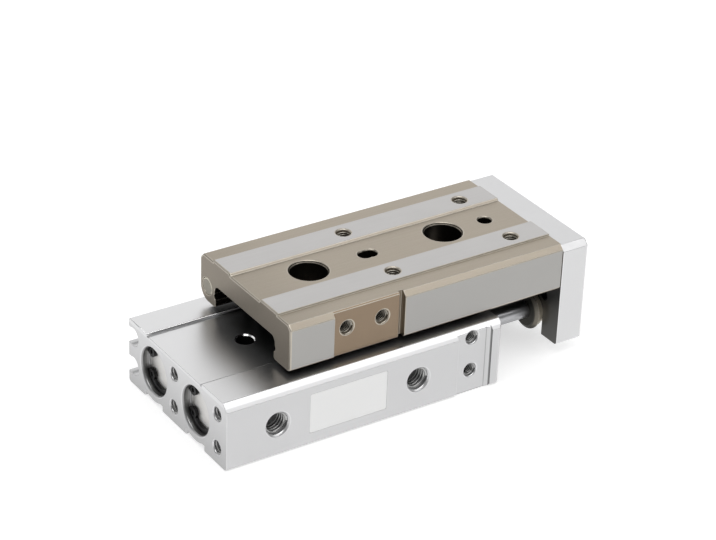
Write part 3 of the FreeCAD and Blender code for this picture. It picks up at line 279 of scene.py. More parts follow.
class GrowthTree(Tree):
    """A Geometry Nodes tree with named inputs, which ends in Realize Instances and Set Material."""

    SOCKETS = {float: "NodeSocketFloat", int: "NodeSocketInt", tuple: "NodeSocketVector"}
    ENDS = {"Template": "NodeSocketObject", "Finish": "NodeSocketMaterial"}

    def __init__(self, name: str, sizes: dict[str, float | int | tuple]) -> None:
        """Make the tree and its inputs.

        Args:
            name: The tree's name.
            sizes: The inputs and their values.
        """
        super().__init__(bpy.data.node_groups.new(name, "GeometryNodeTree"))
        self.sizes = sizes
        self.ports: dict[str, str] = {}
        kinds = {label: self.SOCKETS[type(value)] for label, value in sizes.items()}
        for label, kind in {"Seeds": "NodeSocketGeometry", **kinds, **self.ENDS}.items():
            made = self.tree.interface.new_socket(label, in_out="INPUT", socket_type=kind)
            self.ports[label] = made.identifier
            if label in sizes:
                made.default_value = sizes[label]
        self.tree.interface.new_socket("Result", in_out="OUTPUT", socket_type="NodeSocketGeometry")
        self.source = self.tree.nodes.new("NodeGroupInput")

    def wire(self, label: str) -> Wire:
        """The named input as a Wire."""
        return Wire(self, self.source.outputs[label])

    def plant(self, single: Wire, turned: bool = True) -> None:
        """Put one form at each seed, realize the copies, set the finish and end the tree.

        Args:
            single: The form, which points along Z.
            turned: Whether the form is turned to the input Inward.
        """
        inputs = {"Points": self.wire("Seeds"), "Instance": single}
        if turned:
            towards = {"Vector": self.wire("Inward")}
            inputs["Rotation"] = self.node("FunctionNodeAlignRotationToVector", {"axis": "Z"}, towards)
        copies = self.node("GeometryNodeInstanceOnPoints", inputs=inputs)
        real = self.node("GeometryNodeRealizeInstances", inputs={"Geometry": copies})
        smooth = self.node("GeometryNodeSetShadeSmooth", inputs={"Geometry": real})
        finish = {"Geometry": smooth, "Material": self.wire("Finish")}
        dressed = self.node("GeometryNodeSetMaterial", inputs=finish)
        out = self.tree.nodes.new("NodeGroupOutput")
        self.tree.links.new(dressed.socket, out.inputs[0])

    def grow(
        self, name: str, seeds: Sequence[Place], finish: "Finish", template: Object | None = None
    ) -> Object:
        """Run the tree on seed points and keep the result as a plain mesh.

        Args:
            name: The new piece's name.
            seeds: The place of each instance in millimetres.
            finish: The finish of the result.
            template: The object that the input Template stands for.

        Returns:
            The finished piece.
        """
        points = bpy.data.meshes.new(name)
        points.from_pydata([Vector(seed) * MM for seed in seeds], [], [])
        host = placed(points, name + "_seeds")
        modifier = host.modifiers.new("growth", "NODES")
        modifier.node_group = self.tree
        for label, value in {**self.sizes, "Template": template, "Finish": finish.material()}.items():
            if value is not None:
                modifier[self.ports[label]] = value
        return plain(host, name)


def placed(data: ID, name: str) -> Object:
    """Put an unturned object in the scene, at the origin.

    Args:
        data: Its mesh, camera or light.
        name: The object's name.

    Returns:
        The object.
    """
    made = bpy.data.objects.new(name, data)
    bpy.context.scene.collection.objects.link(made)
    return made


def plain(host: Object, name: str) -> Object:
    """Turn an object with modifiers into a piece with a plain mesh.

    Args:
        host: The object, which is removed.
        name: The piece's name.

    Returns:
        The piece.
    """
    graph = bpy.context.evaluated_depsgraph_get()
    mesh = bpy.data.meshes.new_from_object(host.evaluated_get(graph), depsgraph=graph)
    bpy.data.objects.remove(host)
    return placed(mesh, name)


def lofted(name: str, rings: Sequence[Sequence[Place]], fans: bool = False) -> Mesh:
    """Skin rings that have the same number of points, and close both ends.

    Args:
        name: The mesh's name.
        rings: Rings of places in millimetres.
        fans: Whether the ends are fans of triangles.

    Returns:
        The closed mesh.
    """
    form = bmesh.new()
    rows = [[form.verts.new(Vector(place) * MM) for place in ring] for ring in rings]
    for low, high in zip(rows, rows[1:]):
        for i in range(len(low)):
            j = (i + 1) % len(low)
            form.faces.new((low[i], low[j], high[j], high[i]))
    ends = [form.faces.new(rows[0]), form.faces.new(rows[-1])]
    if fans:
        bmesh.ops.poke(form, faces=ends)
    bmesh.ops.recalc_face_normals(form, faces=form.faces)
    mesh = bpy.data.meshes.new(name)
    form.to_mesh(mesh)
    form.free()
    return mesh


def dress(piece: Object, rides: Rides, slot: str, *nodes: str) -> None:
    """Give a finished piece its body, and hide the nodes that it stands for.

    Args:
        piece: The finished piece.
        rides: The body that it moves with.
        slot: Not used.
        nodes: CAD nodes that it replaces.
    """
    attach(piece, rides.value)
    if nodes:
        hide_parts(*nodes)
    log.info("%s rides on %s, %d faces", piece.name, rides.value, len(piece.data.polygons))


def coat(node: str, finish: "Finish") -> None:
    """Give a carried-over CAD node a finish.

    Args:
        node: The node's name.
        finish: Its finish.
    """
    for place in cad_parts[node].material_slots:
        place.material = finish.material()
    log.info("%s keeps its CAD mesh, in %s", node, finish.name)


def dimmed(colour: Colour, share: float, lift: float = 0.0) -> Colour:
    """A share of a colour, lifted and kept under white."""
    return tuple(min(0.95, channel * share + lift) for channel in colour)


@dataclass(frozen=True)
class Finish:
    """A surface as it is made: how bright, how rough, and with which marks."""

    name: str
    colour: Colour
    roughness: float = 0.4
    metallic: float = 1.0
    mottle: float = 0.04
    mottle_size: float = 6.0
    grain: float = 1.0
    grain_size: float = 0.12
    lay: Lay = Lay.EVEN
    # How much lighter the edges are: wear, and on the plug a painted highlight.
    edge_wear_and_highlight: float = 1.12

    def material(self) -> Material:
        """The finish as a material, made once."""
        return bpy.data.materials.get(self.name) or self.paint(ShaderTree(self.name))

    def tone(self, tree: ShaderTree) -> Wire:
        """The base colour with slow changes over the surface."""
        darker = dimmed(self.colour, 1 - 2 * self.mottle)
        return tree.mix(tree.noise(self.mottle_size, detail=3.0), darker, self.colour)

    def paint(self, tree: ShaderTree) -> Material:
        """Write the finish into a shader tree.

        Args:
            tree: An empty shader tree.

        Returns:
            The material.
        """
        marks = tree.noise(self.grain_size, self.lay, detail=3.0)
        slow = tree.noise(self.mottle_size / 4)
        rough = self.roughness + (slow - 0.5) * 0.08 + (marks - 0.5) * 0.06
        return self.coated(tree, self.tone(tree), rough, marks)

    def coated(self, tree: ShaderTree, colour: Wire, rough: Wire, marks: Wire) -> Material:
        """End the tree with this finish's metal, and with marks as deep as its grain.

        Args:
            tree: The finish's shader tree.
            colour: The base colour.
            rough: The roughness.
            marks: The height of the tool marks, from 0 to 1.

        Returns:
            The material.
        """
        normal = tree.bump(marks, self.grain)
        return tree.shade({
            "Base Color": colour, "Metallic": self.metallic, "Roughness": rough, "Normal": normal,
        })

    def worn(self) -> "Finish":
        """The same surface with its edges lighter: rubbed bright by hands and tools, and on the plug a
        painted highlight.
        """
        name, colour = self.name + "_edge", dimmed(self.colour, self.edge_wear_and_highlight, 0.02)
        return replace(self, name=name, colour=colour, roughness=self.roughness * 0.8, grain=self.grain * 0.4)


@dataclass(frozen=True)
class RubbedSteel(Finish):
    """The table's edges, rubbed through to pale straw and dark where they face down."""

    lowest: float = TABLE_FOOT + 0.17
    shaded: Colour = (0.05, 0.047, 0.042)

    def tone(self, tree: ShaderTree) -> Wire:
        """The base colour, dark along the bottom of the legs."""
        return tree.mix(tree.above(tree.z, self.lowest, 0.04), self.shaded, super().tone(tree))


@dataclass(frozen=True)
class HeatTintedSteel(Finish):
    """The table's steel: straw-brown from hardening, with ground strips, ground sides and a milled pad."""

    brown: Colour = (0.333, 0.29252, 0.2277)
    rosy: Colour = (0.4635, 0.39964, 0.3519)
    ground: Colour = (0.485, 0.475, 0.468)
    ground_side: Colour = (0.365, 0.358, 0.345)
    milled: Colour = (0.27, 0.205, 0.145)
    # Painted highlight on the near strip's rim.
    rim: Colour = (0.54, 0.50, 0.43)
    # Heat scale, darkened further as painted shade.
    scale: Colour = (0.035, 0.030, 0.024)
    # Painted shade for the rear end face and the rear end.
    painted_end_shade: Colour = (0.075, 0.065, 0.052)
    shaded: Colour = RubbedSteel.shaded
    edges: Colour = (0.55, 0.505, 0.43)
    strip: Span = (5.75, 12.7)
    strip_rim: Span = (12.3, 13.0)
    strip_from: float = TABLE_TOP - 0.12
    rim_height: Span = (TABLE_TOP - 0.37, TABLE_TOP - 0.04)
    side_from: float = TABLE_HALF - 0.12
    side_top: float = 25.95
    side_line: Span = (25.79, 25.97)
    pad: Span = (-6.5, 10.5)
    pad_from: float = TABLE_HALF - 1.0
    pad_top: float = 26.95
    slit: Span = (9.6, 10.48)
    slit_top: float = 26.55
    bore_half: float = 5.35
    bore_height: Span = (10.0, 26.78)
    channel_half: float = 12.3
    channel_top: float = 21.95
    foot: float = TABLE_FOOT + 0.12
    end_shade_to: float = -9.0

    def paint(self, tree: ShaderTree) -> Material:
        """Write the zones of the table into a shader tree.

        Args:
            tree: An empty shader tree.

        Returns:
            The material.
        """
        strips = tree.above(tree.z, self.strip_from) * tree.between(tree.beside(), *self.strip)
        sides = tree.above(tree.beside(), self.side_from) * tree.below(tree.z, self.side_top)
        ground = strips | sides
        near = tree.above(CENTRE * MM - tree.y, self.pad_from)
        pad = near * tree.between(tree.x, *self.pad) * (1 - ground) * tree.below(tree.z, self.pad_top)
        slit = near * tree.between(tree.x, *self.slit, 0.03) * tree.below(tree.z, self.slit_top)
        line = tree.between(tree.z, *self.side_line, 0.02) * sides
        streaks = tree.noise(0.5, Lay.ALONG_X, detail=4.0)
        clouds = tree.noise(5.0, detail=4.0)
        specks = tree.noise(0.35, detail=2.0)
        straw = tree.mix(tree.noise(2.2, detail=3.0), self.colour, self.rosy)
        tint = tree.mix(clouds * 0.45 + streaks * 0.3 + specks * 0.25, self.brown, straw)
        # Painted highlight: the near strip's rim is lighter, on the near side only.
        rims = tree.between(tree.z, *self.rim_height) * tree.between(CENTRE * MM - tree.y, *self.strip_rim)
        tint = tree.mix(rims * tree.above(tree.x, TABLE_REAR + 0.3), tint, self.rim)
        # Painted shade: the rear end face is darkened, and the steel darkens slowly towards the rear end.
        end_shade_share = tree.below(tree.x, TABLE_REAR + 0.2) * 0.34 + tree.below(tree.x, self.end_shade_to, 8.0) * 0.13
        steel = tree.mix(pad, tree.mix(end_shade_share, tint, self.painted_end_shade), self.milled)
        # Heat scale inside the bores and the channel, darkened further as painted shade.
        bores = tree.between(tree.z, *self.bore_height) * tree.below(tree.beside(), self.bore_half)
        channel = tree.below(tree.z, self.channel_top) * tree.below(tree.beside(), self.channel_half)
        steel = tree.mix((bores | channel) * tree.above(tree.x, TABLE_REAR + 0.25), steel, self.scale)
        bright = tree.mix(streaks, dimmed(self.ground, 0.93), self.ground)
        steel = tree.mix(ground, steel, tree.mix(sides, bright, self.ground_side))
        steel = tree.mix(tree.below(tree.z, self.foot) | line * 0.8 | slit, steel, self.shaded)
        marks = tree.noise(self.grain_size, Lay.ALONG_X, detail=3.0)
        rough = self.roughness - ground * 0.1 + (clouds - 0.5) * 0.12 + (marks - 0.5) * 0.08
        return self.coated(tree, steel, rough, marks)

    def worn(self) -> Finish:
        """The table's edges."""
        return RubbedSteel(self.name + "_edge", self.edges, 0.34, mottle=0.12, mottle_size=2.0, grain=0.5)


@dataclass(frozen=True)
class AnodisedBody(Finish):
    """The body's skin: drawn sides, a finely milled top that mirrors the guide, honed bores, and painted
    shade and highlights.
    """

    bore_wall: float = 5.45
    mount_radius: float = 1.98
    mouth_radius: float = 2.38
    mouth_height: Span = (14.58, SEAT - 0.01)
    bed_shade_from: float = -15.0
    # Where the far shoulder is painted as in shadow.
    shoulder_shadow: Span = (-16.8, 10.0)
    shoulder_across: Span = (SEAT_HALF, SEAT_HALF + 2.9)
    top_from: float = BODY_TOP - 1.0
    # Painted shade: two dark lines in the corner by the lip.
    lip_shade_lines: tuple[Span, Span] = ((29.62, 29.8), (30.68, 30.94))
    lip_shade_to: float = BODY_NEAR + 0.8
    lowest: float = 0.13
    # Painted shade: the rear face goes from darker at the bottom to lighter at the top.
    rear_shade_ramp: tuple[Colour, Colour] = ((0.455, 0.455, 0.458), (0.625, 0.625, 0.63))
    top: Colour = (0.675, 0.675, 0.68)
    # Honed bore walls, darkened further as painted shade.
    honed_and_shaded: Colour = (0.34, 0.34, 0.34)
    # Painted shade, near black, for the mounting holes and the far shoulder.
    painted_deep_shade: Colour = (0.06, 0.06, 0.06)
    # A painted highlight on the polished mouths of the mounting holes.
    mouth_highlight: Colour = (0.93, 0.93, 0.93)
    # Painted shade for the seat floor under the table.
    painted_bed_shade: Colour = (0.12, 0.12, 0.123)
    # Painted shade for the lip's corner and the bottom edge.
    painted_shade_grey: Colour = (0.20, 0.20, 0.20)

    def paint(self, tree: ShaderTree) -> Material:
        """Write the zones of the body into a shader tree.

        Args:
            tree: An empty shader tree.

        Returns:
            The material.
        """
        top = tree.above(tree.z, self.top_from)
        along = abs(tree.x) - MOUNT_X * MM
        off = tree.y - CENTRE * MM
        mounts = tree.round(along, off, self.mount_radius)
        mouth_low, mouth_high = self.mouth_height
        mouths = tree.round(along, off, self.mouth_radius) * tree.above(tree.z, mouth_low)
        mouths = mouths * tree.below(tree.z, mouth_high, 0.01)
        # Painted shade: the rear face darkens towards the bottom.
        rear_shade_ramp = tree.mix(tree.z / (BODY_TOP * MM), *self.rear_shade_ramp)
        colour = tree.mix(tree.above(tree.x, BODY_REAR + 0.03, 0.02), rear_shade_ramp, self.tone(tree))
        # The bore walls are honed, and darkened further as painted shade.
        bores = tree.round(tree.beside() - BORE_OFFSET * MM, tree.z - BORE_HEIGHT * MM, self.bore_wall)
        colour = tree.mix(top, tree.mix(bores, colour, self.honed_and_shaded), self.top)
        # Painted shade: the seat floor darkens under the table and towards it.
        bed_shade = tree.above(tree.x, self.bed_shade_from, 3.5) * tree.below(tree.beside(), SEAT_HALF)
        bed_shade = bed_shade * tree.below(tree.z, SEAT + 0.1)
        # Painted shadow: the far shoulder under the table is near black.
        shoulder_shadow = tree.between(off, *self.shoulder_across, 0.2) * top
        shoulder_shadow = shoulder_shadow * tree.between(tree.x, *self.shoulder_shadow, 0.9)
        colour = tree.mix(shoulder_shadow, tree.mix(bed_shade, colour, self.painted_bed_shade), self.painted_deep_shade)
        # Painted shade inside the mounting holes, and a near-white painted highlight on their polished
        # mouths.
        colour = tree.mix(mouths, tree.mix(mounts, colour, self.painted_deep_shade), self.mouth_highlight)
        # Painted shade: two dark lines in the corner by the lip, and a dark strip along the bottom edge.
        first, second = (tree.between(tree.x, *ends) for ends in self.lip_shade_lines)
        lip_shade = (first * 0.6 | second) * tree.below(tree.y, self.lip_shade_to)
        shaded = tree.below(tree.z, self.lowest, 0.04) * tree.above(tree.x, BODY_REAR + 0.2)
        marks = tree.noise(self.grain_size, self.lay, detail=3.0)
        lines = tree.noise(0.25, Lay.ALONG_X, detail=3.0)
        slow = tree.noise(self.mottle_size / 4)
        rough = self.roughness - top * 0.07 - mouths * 0.2 + (slow - 0.5) * 0.04 + (lines - 0.5) * 0.06
        colour = tree.mix(lip_shade | shaded, colour, self.painted_shade_grey)
        return self.coated(tree, colour, rough, marks * (1 - top * 0.4) + lines * 0.4)


@dataclass(frozen=True)
class FacedPlate(Finish):
    """A plate whose rear face is painted darker than the rest, as painted shade."""

    # Painted shade for the rear face.
    milled: Colour = (0.11, 0.108, 0.104)
    pin_hole_shade: Colour = (0.02, 0.02, 0.02)
    pin_radius: float = 1.1
    pin_depth: float = 2.5

    def tone(self, tree: ShaderTree) -> Wire:
        """The base colour, with painted shade on the rear face and in its two pin holes.

        Args:
            tree: The plate's shader tree.

        Returns:
            The colour.
        """
        # Painted shade in the two pin holes and on the rear face.
        pins = tree.round(tree.beside() - PIN_OFFSET * MM, tree.z - PIN_HEIGHT * MM, self.pin_radius)
        pins = pins * tree.below(tree.x, PLATE_REAR + self.pin_depth)
        plate = tree.mix(tree.above(tree.x, PLATE_REAR + 0.03, 0.02), self.milled, super().tone(tree))
        return tree.mix(pins, plate, self.pin_hole_shade)


@dataclass(frozen=True)
class TurnedBush(Finish):
    """A bush with a blackened rear face and a rim that is turned bright, with painted shade on its lower
    part.
    """

    # Turned steel, lightened further as painted light where the table shades the flange.
    rim: Colour = (0.80, 0.74, 0.63)
    cone: Colour = (0.20, 0.185, 0.155)
    cone_from: float = BUSH_REAR + 0.12
    rim_from: float = BUSH_REAR + 0.74
    # Painted shade: below this height the bush keeps its dark colour.
    painted_shade_below: float = 5.0

    def tone(self, tree: ShaderTree) -> Wire:
        """The base colour, brighter on the rear chamfer and bright on the flange, with painted shade below.

        Args:
            tree: The bush's shader tree.

        Returns:
            The colour.
        """
        turned = tree.mix(tree.above(tree.x, self.rim_from, 0.03), self.cone, self.rim)
        # Painted shade: the lower part stays dark.
        unshaded_part = tree.above(tree.x, self.cone_from, 0.06) * tree.above(tree.z, self.painted_shade_below, 1.0)
        return tree.mix(unshaded_part, super().tone(tree), turned)


SILVER = {"mottle": 0.015, "grain": 0.9, "grain_size": 0.14}
BODY_SKIN = AnodisedBody("body_anodised_skin", (0.60, 0.60, 0.605), **SILVER)
PLATE_SKIN = FacedPlate("plate_anodised_skin", (0.66, 0.66, 0.665), **SILVER)
THREAD_METAL = Finish("cut_thread", (0.42, 0.42, 0.415), 0.3, **SILVER)
TABLE_STEEL = HeatTintedSteel("hardened_table_steel", (0.45, 0.412, 0.345), 0.42, grain=1.1, grain_size=0.16)
TABLE_THREAD = Finish("tinted_thread", (0.34, 0.32, 0.28), 0.3, mottle=0.1)
# The plug's edges are painted far lighter, as a painted highlight on its rim.
PLUG_STEEL = Finish("leg_plug_steel", (0.285, 0.268, 0.225), mottle=0.12, mottle_size=1.5, edge_wear_and_highlight=2.6)
GUIDE_STEEL = Finish(
    "ground_guide_steel", (0.52, 0.51, 0.50), 0.28, grain=0.8, grain_size=0.1, lay=Lay.ALONG_X
)
BALL_STEEL = Finish("bearing_ball", (0.66, 0.66, 0.66), 0.10, mottle=0.0, grain=0.05)
CAP_METAL = Finish("turned_cap_aluminium", (0.80, 0.79, 0.77), 0.46, mottle=0.03, mottle_size=3.0, grain=0.5)
SPRING_STEEL = Finish("phosphated_spring_steel", (0.045, 0.045, 0.046), mottle=0.2, mottle_size=1.0)
BUSH_STEEL = TurnedBush("blackened_bush_steel", (0.055, 0.053, 0.046), 0.5, mottle=0.10, mottle_size=2.0)
CHROME = Finish("chromed_rod", (0.44, 0.445, 0.455), 0.30, mottle=0.01, grain=0.15, lay=Lay.ROUND_X)
SCREW_STEEL = Finish("screw_steel", (0.30, 0.29, 0.28), 0.32, mottle=0.08, mottle_size=1.5, grain=0.6)
PLASTIC = Finish("black_acetal", (0.018, 0.018, 0.019), 0.48, 0.0, mottle=0.1, grain=2.0, grain_size=0.2)
RUBBER = Finish("black_nitrile", (0.013, 0.013, 0.013), 0.62, 0.0, mottle=0.1, grain=2.5, grain_size=0.15)
MAGNET = Finish("sintered_magnet", (0.06, 0.058, 0.055), 0.55, 0.6, mottle=0.1, grain=2.0)
LABEL_FILM = Finish("pale_label_film", (0.86, 0.86, 0.855), 0.42, 0.0, mottle=0.01, grain=0.6)


@dataclass
class Machined:
    """A CAD node's shape with its edges broken, as the real part's are."""

    node: str
    rides: Rides
    slot: str
    finish: Finish
    edge: float = 0.1
    work: Callable[[BMesh], Weights] | None = None
    usual: float = 1.0
    sharpest: float = 32.0
    merged: float = 0.002
    flat: float = 0.3

    def shape(self) -> Mesh:
        """A merged copy of the node's mesh, with a bevel weight on each real edge.

        Returns:
            The copy.
        """
        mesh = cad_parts[self.node].data.copy()
        form = bmesh.new()
        form.from_mesh(mesh)
        bmesh.ops.remove_doubles(form, verts=form.verts, dist=self.merged * MM)
        flat = math.radians(self.flat)
        bmesh.ops.dissolve_limit(form, angle_limit=flat, verts=form.verts, edges=form.edges)
        weight = form.edges.layers.float.new("bevel_weight_edge")
        chosen = self.work(form) if self.work else {}
        for edge in form.edges:
            turned = len(edge.link_faces) == 2 and edge.calc_face_angle(0) > math.radians(self.sharpest)
            edge[weight] = chosen.get(edge, self.usual) if turned else 0.0
            edge.smooth = not (turned and edge[weight] == 0.0)
        for face in form.faces:
            face.smooth = True
            face.material_index = 0
        form.to_mesh(mesh)
        form.free()
        return mesh

    def build(self) -> None:
        """Bevel the copy, weigh its normals and let it replace the node."""
        mesh = self.shape()
        mesh.materials.clear()
        for finish in (self.finish, self.finish.worn()):
            mesh.materials.append(finish.material())
        host = placed(mesh, self.node + "_host")
        bevel = host.modifiers.new("edges", "BEVEL")
        bevel.limit_method = "WEIGHT"
        bevel.width = self.edge * MM
        bevel.segments = 2
        bevel.use_clamp_overlap = False
        bevel.material = 1
        normals = host.modifiers.new("normals", "WEIGHTED_NORMAL")
        normals.weight = 80
        normals.keep_sharp = True
        dress(plain(host, self.node + "_finished"), self.rides, self.slot, self.node)


@dataclass
class Threads:
    """The screw threads inside a group of tapped holes."""

    name: str
    rides: Rides
    slot: str
    finish: Finish
    mouths: Sequence[Place]
    into: Into
    depth: float
    radius: float = 1.5
    pitch: float = 0.5
    ridge: float = 0.27
    section: tuple[Span, ...] = ((-0.42, -0.1), (-0.08, 1.0), (0.08, 1.0), (0.42, -0.1))

    def tree(self) -> GrowthTree:
        """A helix of trapezoid section, laid into the hole below each seed point.

        Returns:
            The tree.
        """
        growth = GrowthTree("thread_growth", {
            "Radius": self.radius * MM,
            "Pitch": self.pitch * MM,
            "Turns": float(math.floor((self.depth - 2 * self.pitch) / self.pitch)),
            "Ridge": self.ridge * MM,
            "Steps": 36,
            "Inward": self.into.value,
        })
        pitch, ridge = growth.wire("Pitch"), growth.wire("Ridge")
        helix = growth.node("GeometryNodeCurveSpiral", inputs={
            "Resolution": growth.wire("Steps"),
            "Rotations": growth.wire("Turns"),
            "Start Radius": growth.wire("Radius"),
            "End Radius": growth.wire("Radius"),
            "Height": pitch * growth.wire("Turns"),
        })
        helix = growth.node("GeometryNodeSetCurveNormal", {"mode": "Z_UP"}, {"Curve": helix})
        turned = growth.node("GeometryNodeSplineParameter") * growth.wire("Turns")
        swell = growth.maths("MINIMUM", turned * 1.2 + 0.05, 1.0)
        helix = growth.node("GeometryNodeSetCurveRadius", inputs={"Curve": helix, "Radius": swell})
        corners = {
            f"Point {i + 1}": growth.node("ShaderNodeCombineXYZ", inputs={0: ridge * rise, 1: pitch * along})
            for i, (along, rise) in enumerate(self.section)
        }
        section = growth.node("GeometryNodeCurvePrimitiveQuadrilateral", {"mode": "POINTS"}, corners)
        swept = {"Curve": helix, "Profile Curve": section, "Fill Caps": True}
        growth.plant(growth.node("GeometryNodeCurveToMesh", inputs=swept))
        return growth

    def build(self) -> None:
        """Grow the threads in their holes."""
        start = Vector(self.into.value) * (self.pitch * 0.9)
        places = [tuple(Vector(mouth_highlight) + start) for mouth_highlight in self.mouths]
        dress(self.tree().grow(self.name, places, self.finish), self.rides, self.slot)


@dataclass(frozen=True)
class Ring:
    """One ring of a screw's section: round, knurled or six-sided, at a height."""

    radius: float
    height: float
    knurl: float = 0.0
    sides: int = 0
    spread: float = 0.0

    def points(self, steps: int) -> list[Place]:
        """The ring's points.

        Args:
            steps: How many there are.

        Returns:
            The places, in turn round Z.
        """
        places = []
        for angle in (2 * math.pi * i / steps for i in range(steps)):
            reach = self.radius * (1 - self.knurl + self.knurl * math.cos(steps / 2 * angle))
            if self.sides:
                within = math.fmod(angle, 2 * math.pi / self.sides) - math.pi / self.sides
                reach = self.radius / math.cos(within) + self.spread
            places.append((reach * math.cos(angle), reach * math.sin(angle), self.height))
        return places


@dataclass
class SocketScrews:
    """Cap screws with a knurled head and a hexagon socket, one at each seat."""

    node: str
    rides: Rides
    seats: Sequence[Place]
    into: Into
    head: Span
    shank: Span
    steps: int = 48
    knurl: float = 0.015
    lead: float = 0.12
    tip: float = 0.2
    crisp: float = 35.0

    def rings(self) -> list[Ring]:
        """The screw's section, from the socket's floor to the shank's tip.

        Returns:
            The rings in order.
        """
        radius, height = self.head
        shank, length = self.shank
        return [
            Ring(radius / 2, -height / 2, sides=6),
            Ring(radius / 2, -height + self.lead, sides=6),
            Ring(radius / 2, -height, sides=6, spread=self.lead),
            Ring(radius * 0.9, -height),
            Ring(radius * 0.97, -height * 0.94),
            Ring(radius, -height * 0.88, self.knurl),
            Ring(radius, -height * 0.12, self.knurl),
            Ring(radius * 0.95, 0.0),
            Ring(shank, 0.0),
            Ring(shank, length - self.tip),
            Ring(shank * 0.8, length),
        ]

    def build(self) -> None:
        """Grow one screw on each seat, with the edges of the heads kept crisp."""
        growth = GrowthTree("screw_growth", {"Inward": self.into.value})
        form = {"Object": growth.wire("Template")}
        growth.plant(growth.node("GeometryNodeObjectInfo", inputs=form, output="Geometry"))
        rings = [ring.points(self.steps) for ring in self.rings()]
        template = placed(lofted("screw", rings, fans=True), "screw_template")
        piece = growth.grow(self.node + "_detailed", self.seats, SCREW_STEEL, template)
        bpy.data.objects.remove(template)
        piece.data.set_sharp_from_angle(angle=math.radians(self.crisp))
        dress(piece, self.rides, "screw_steel", self.node)


@dataclass
class Studio:
    """The camera at the photograph's angle, a pale floor and soft white light."""

    camera_at: Place = (-248.6, -379.7, 282.9)
    looks: Place = (0.49031, 0.72028, -0.49070)
    roll: float = 2.257
    lens: float = 127.38
    floor_half: float = 1500.0
    floor_height: float = -0.1
    floor_tones: Span = (0.55, 0.57)
    floor_glow: float = 0.6
    sky: float = 0.3
    softboxes: tuple[tuple[str, Place, float, float], ...] = (
        ("key_softbox", (490.0, -490.0, 720.0), 600.0, 1.8),
        ("back_panel", (640.0, 940.0, 640.0), 1100.0, 3.3),
        ("overhead_softbox", (-150.0, -180.0, 885.0), 700.0, 4.5),
        ("rear_panel", (-640.0, 940.0, 640.0), 900.0, 1.5),
    )

    def build(self) -> None:
        """Set up the camera, the floor and the light."""
        self.camera()
        self.floor()
        self.world()
        for box in self.softboxes:
            self.softbox(*box)
        bpy.context.scene.view_settings.view_transform = "Standard"
        log.info("studio is set")

    def camera(self) -> None:
        """Place the camera."""
        ahead = Vector(self.looks).normalized()
        level = ahead.cross(Vector((0, 0, 1))).normalized()
        upright = level.cross(ahead)
        tilt = math.radians(self.roll)
        right = level * math.cos(tilt) + upright * math.sin(tilt)
        data = bpy.data.cameras.new("camera")
        data.lens = self.lens
        data.clip_start = 0.01
        data.clip_end = 20.0
        made = placed(data, "camera")
        axes = Matrix((right, right.cross(ahead), -ahead)).transposed().to_4x4()
        made.matrix_world = Matrix.Translation(Vector(self.camera_at) * MM) @ axes
        bpy.context.scene.camera = made

    def floor(self) -> None:
        """Lay the floor just under the body."""
        half, height = self.floor_half, self.floor_height
        corners = [(-half, -half, height), (half, -half, height), (half, half, height), (-half, half, height)]
        mesh = bpy.data.meshes.new("floor")
        mesh.from_pydata([Vector(corner) * MM for corner in corners], [], [(0, 1, 2, 3)])
        tree = ShaderTree("pale_floor")
        dark, light = ((tone, tone, tone) for tone in self.floor_tones)
        mesh.materials.append(tree.shade({
            "Base Color": tree.mix(tree.noise(80.0), dark, light),
            "Roughness": 0.7,
            "Emission Color": (1.0, 1.0, 1.0),
            "Emission Strength": self.floor_glow,
        }))
        placed(mesh, "floor")

    def world(self) -> None:
        """Light everything from a soft white sky."""
        world = bpy.data.worlds.new("studio_sky")
        world.use_nodes = True
        bpy.context.scene.world = world
        tree = Tree(world.node_tree)
        sky = tree.node("ShaderNodeBackground", inputs={"Color": (1.0, 1.0, 1.0), "Strength": self.sky})
        tree.node("ShaderNodeOutputWorld", inputs={"Surface": sky})

    def softbox(self, name: str, at: Place, width: float, power: float) -> None:
        """Hang a square softbox that faces the object.

        Args:
            name: The light's name.
            at: Its place in millimetres.
            width: Its width in millimetres.
            power: Its power in watts.
        """
        data = bpy.data.lights.new(name, "AREA")
        data.size = width * MM
        data.energy = power
        made = placed(data, name)
        made.location = Vector(at) * MM
        made.rotation_euler = (-made.location).to_track_quat("-Z", "Y").to_euler()


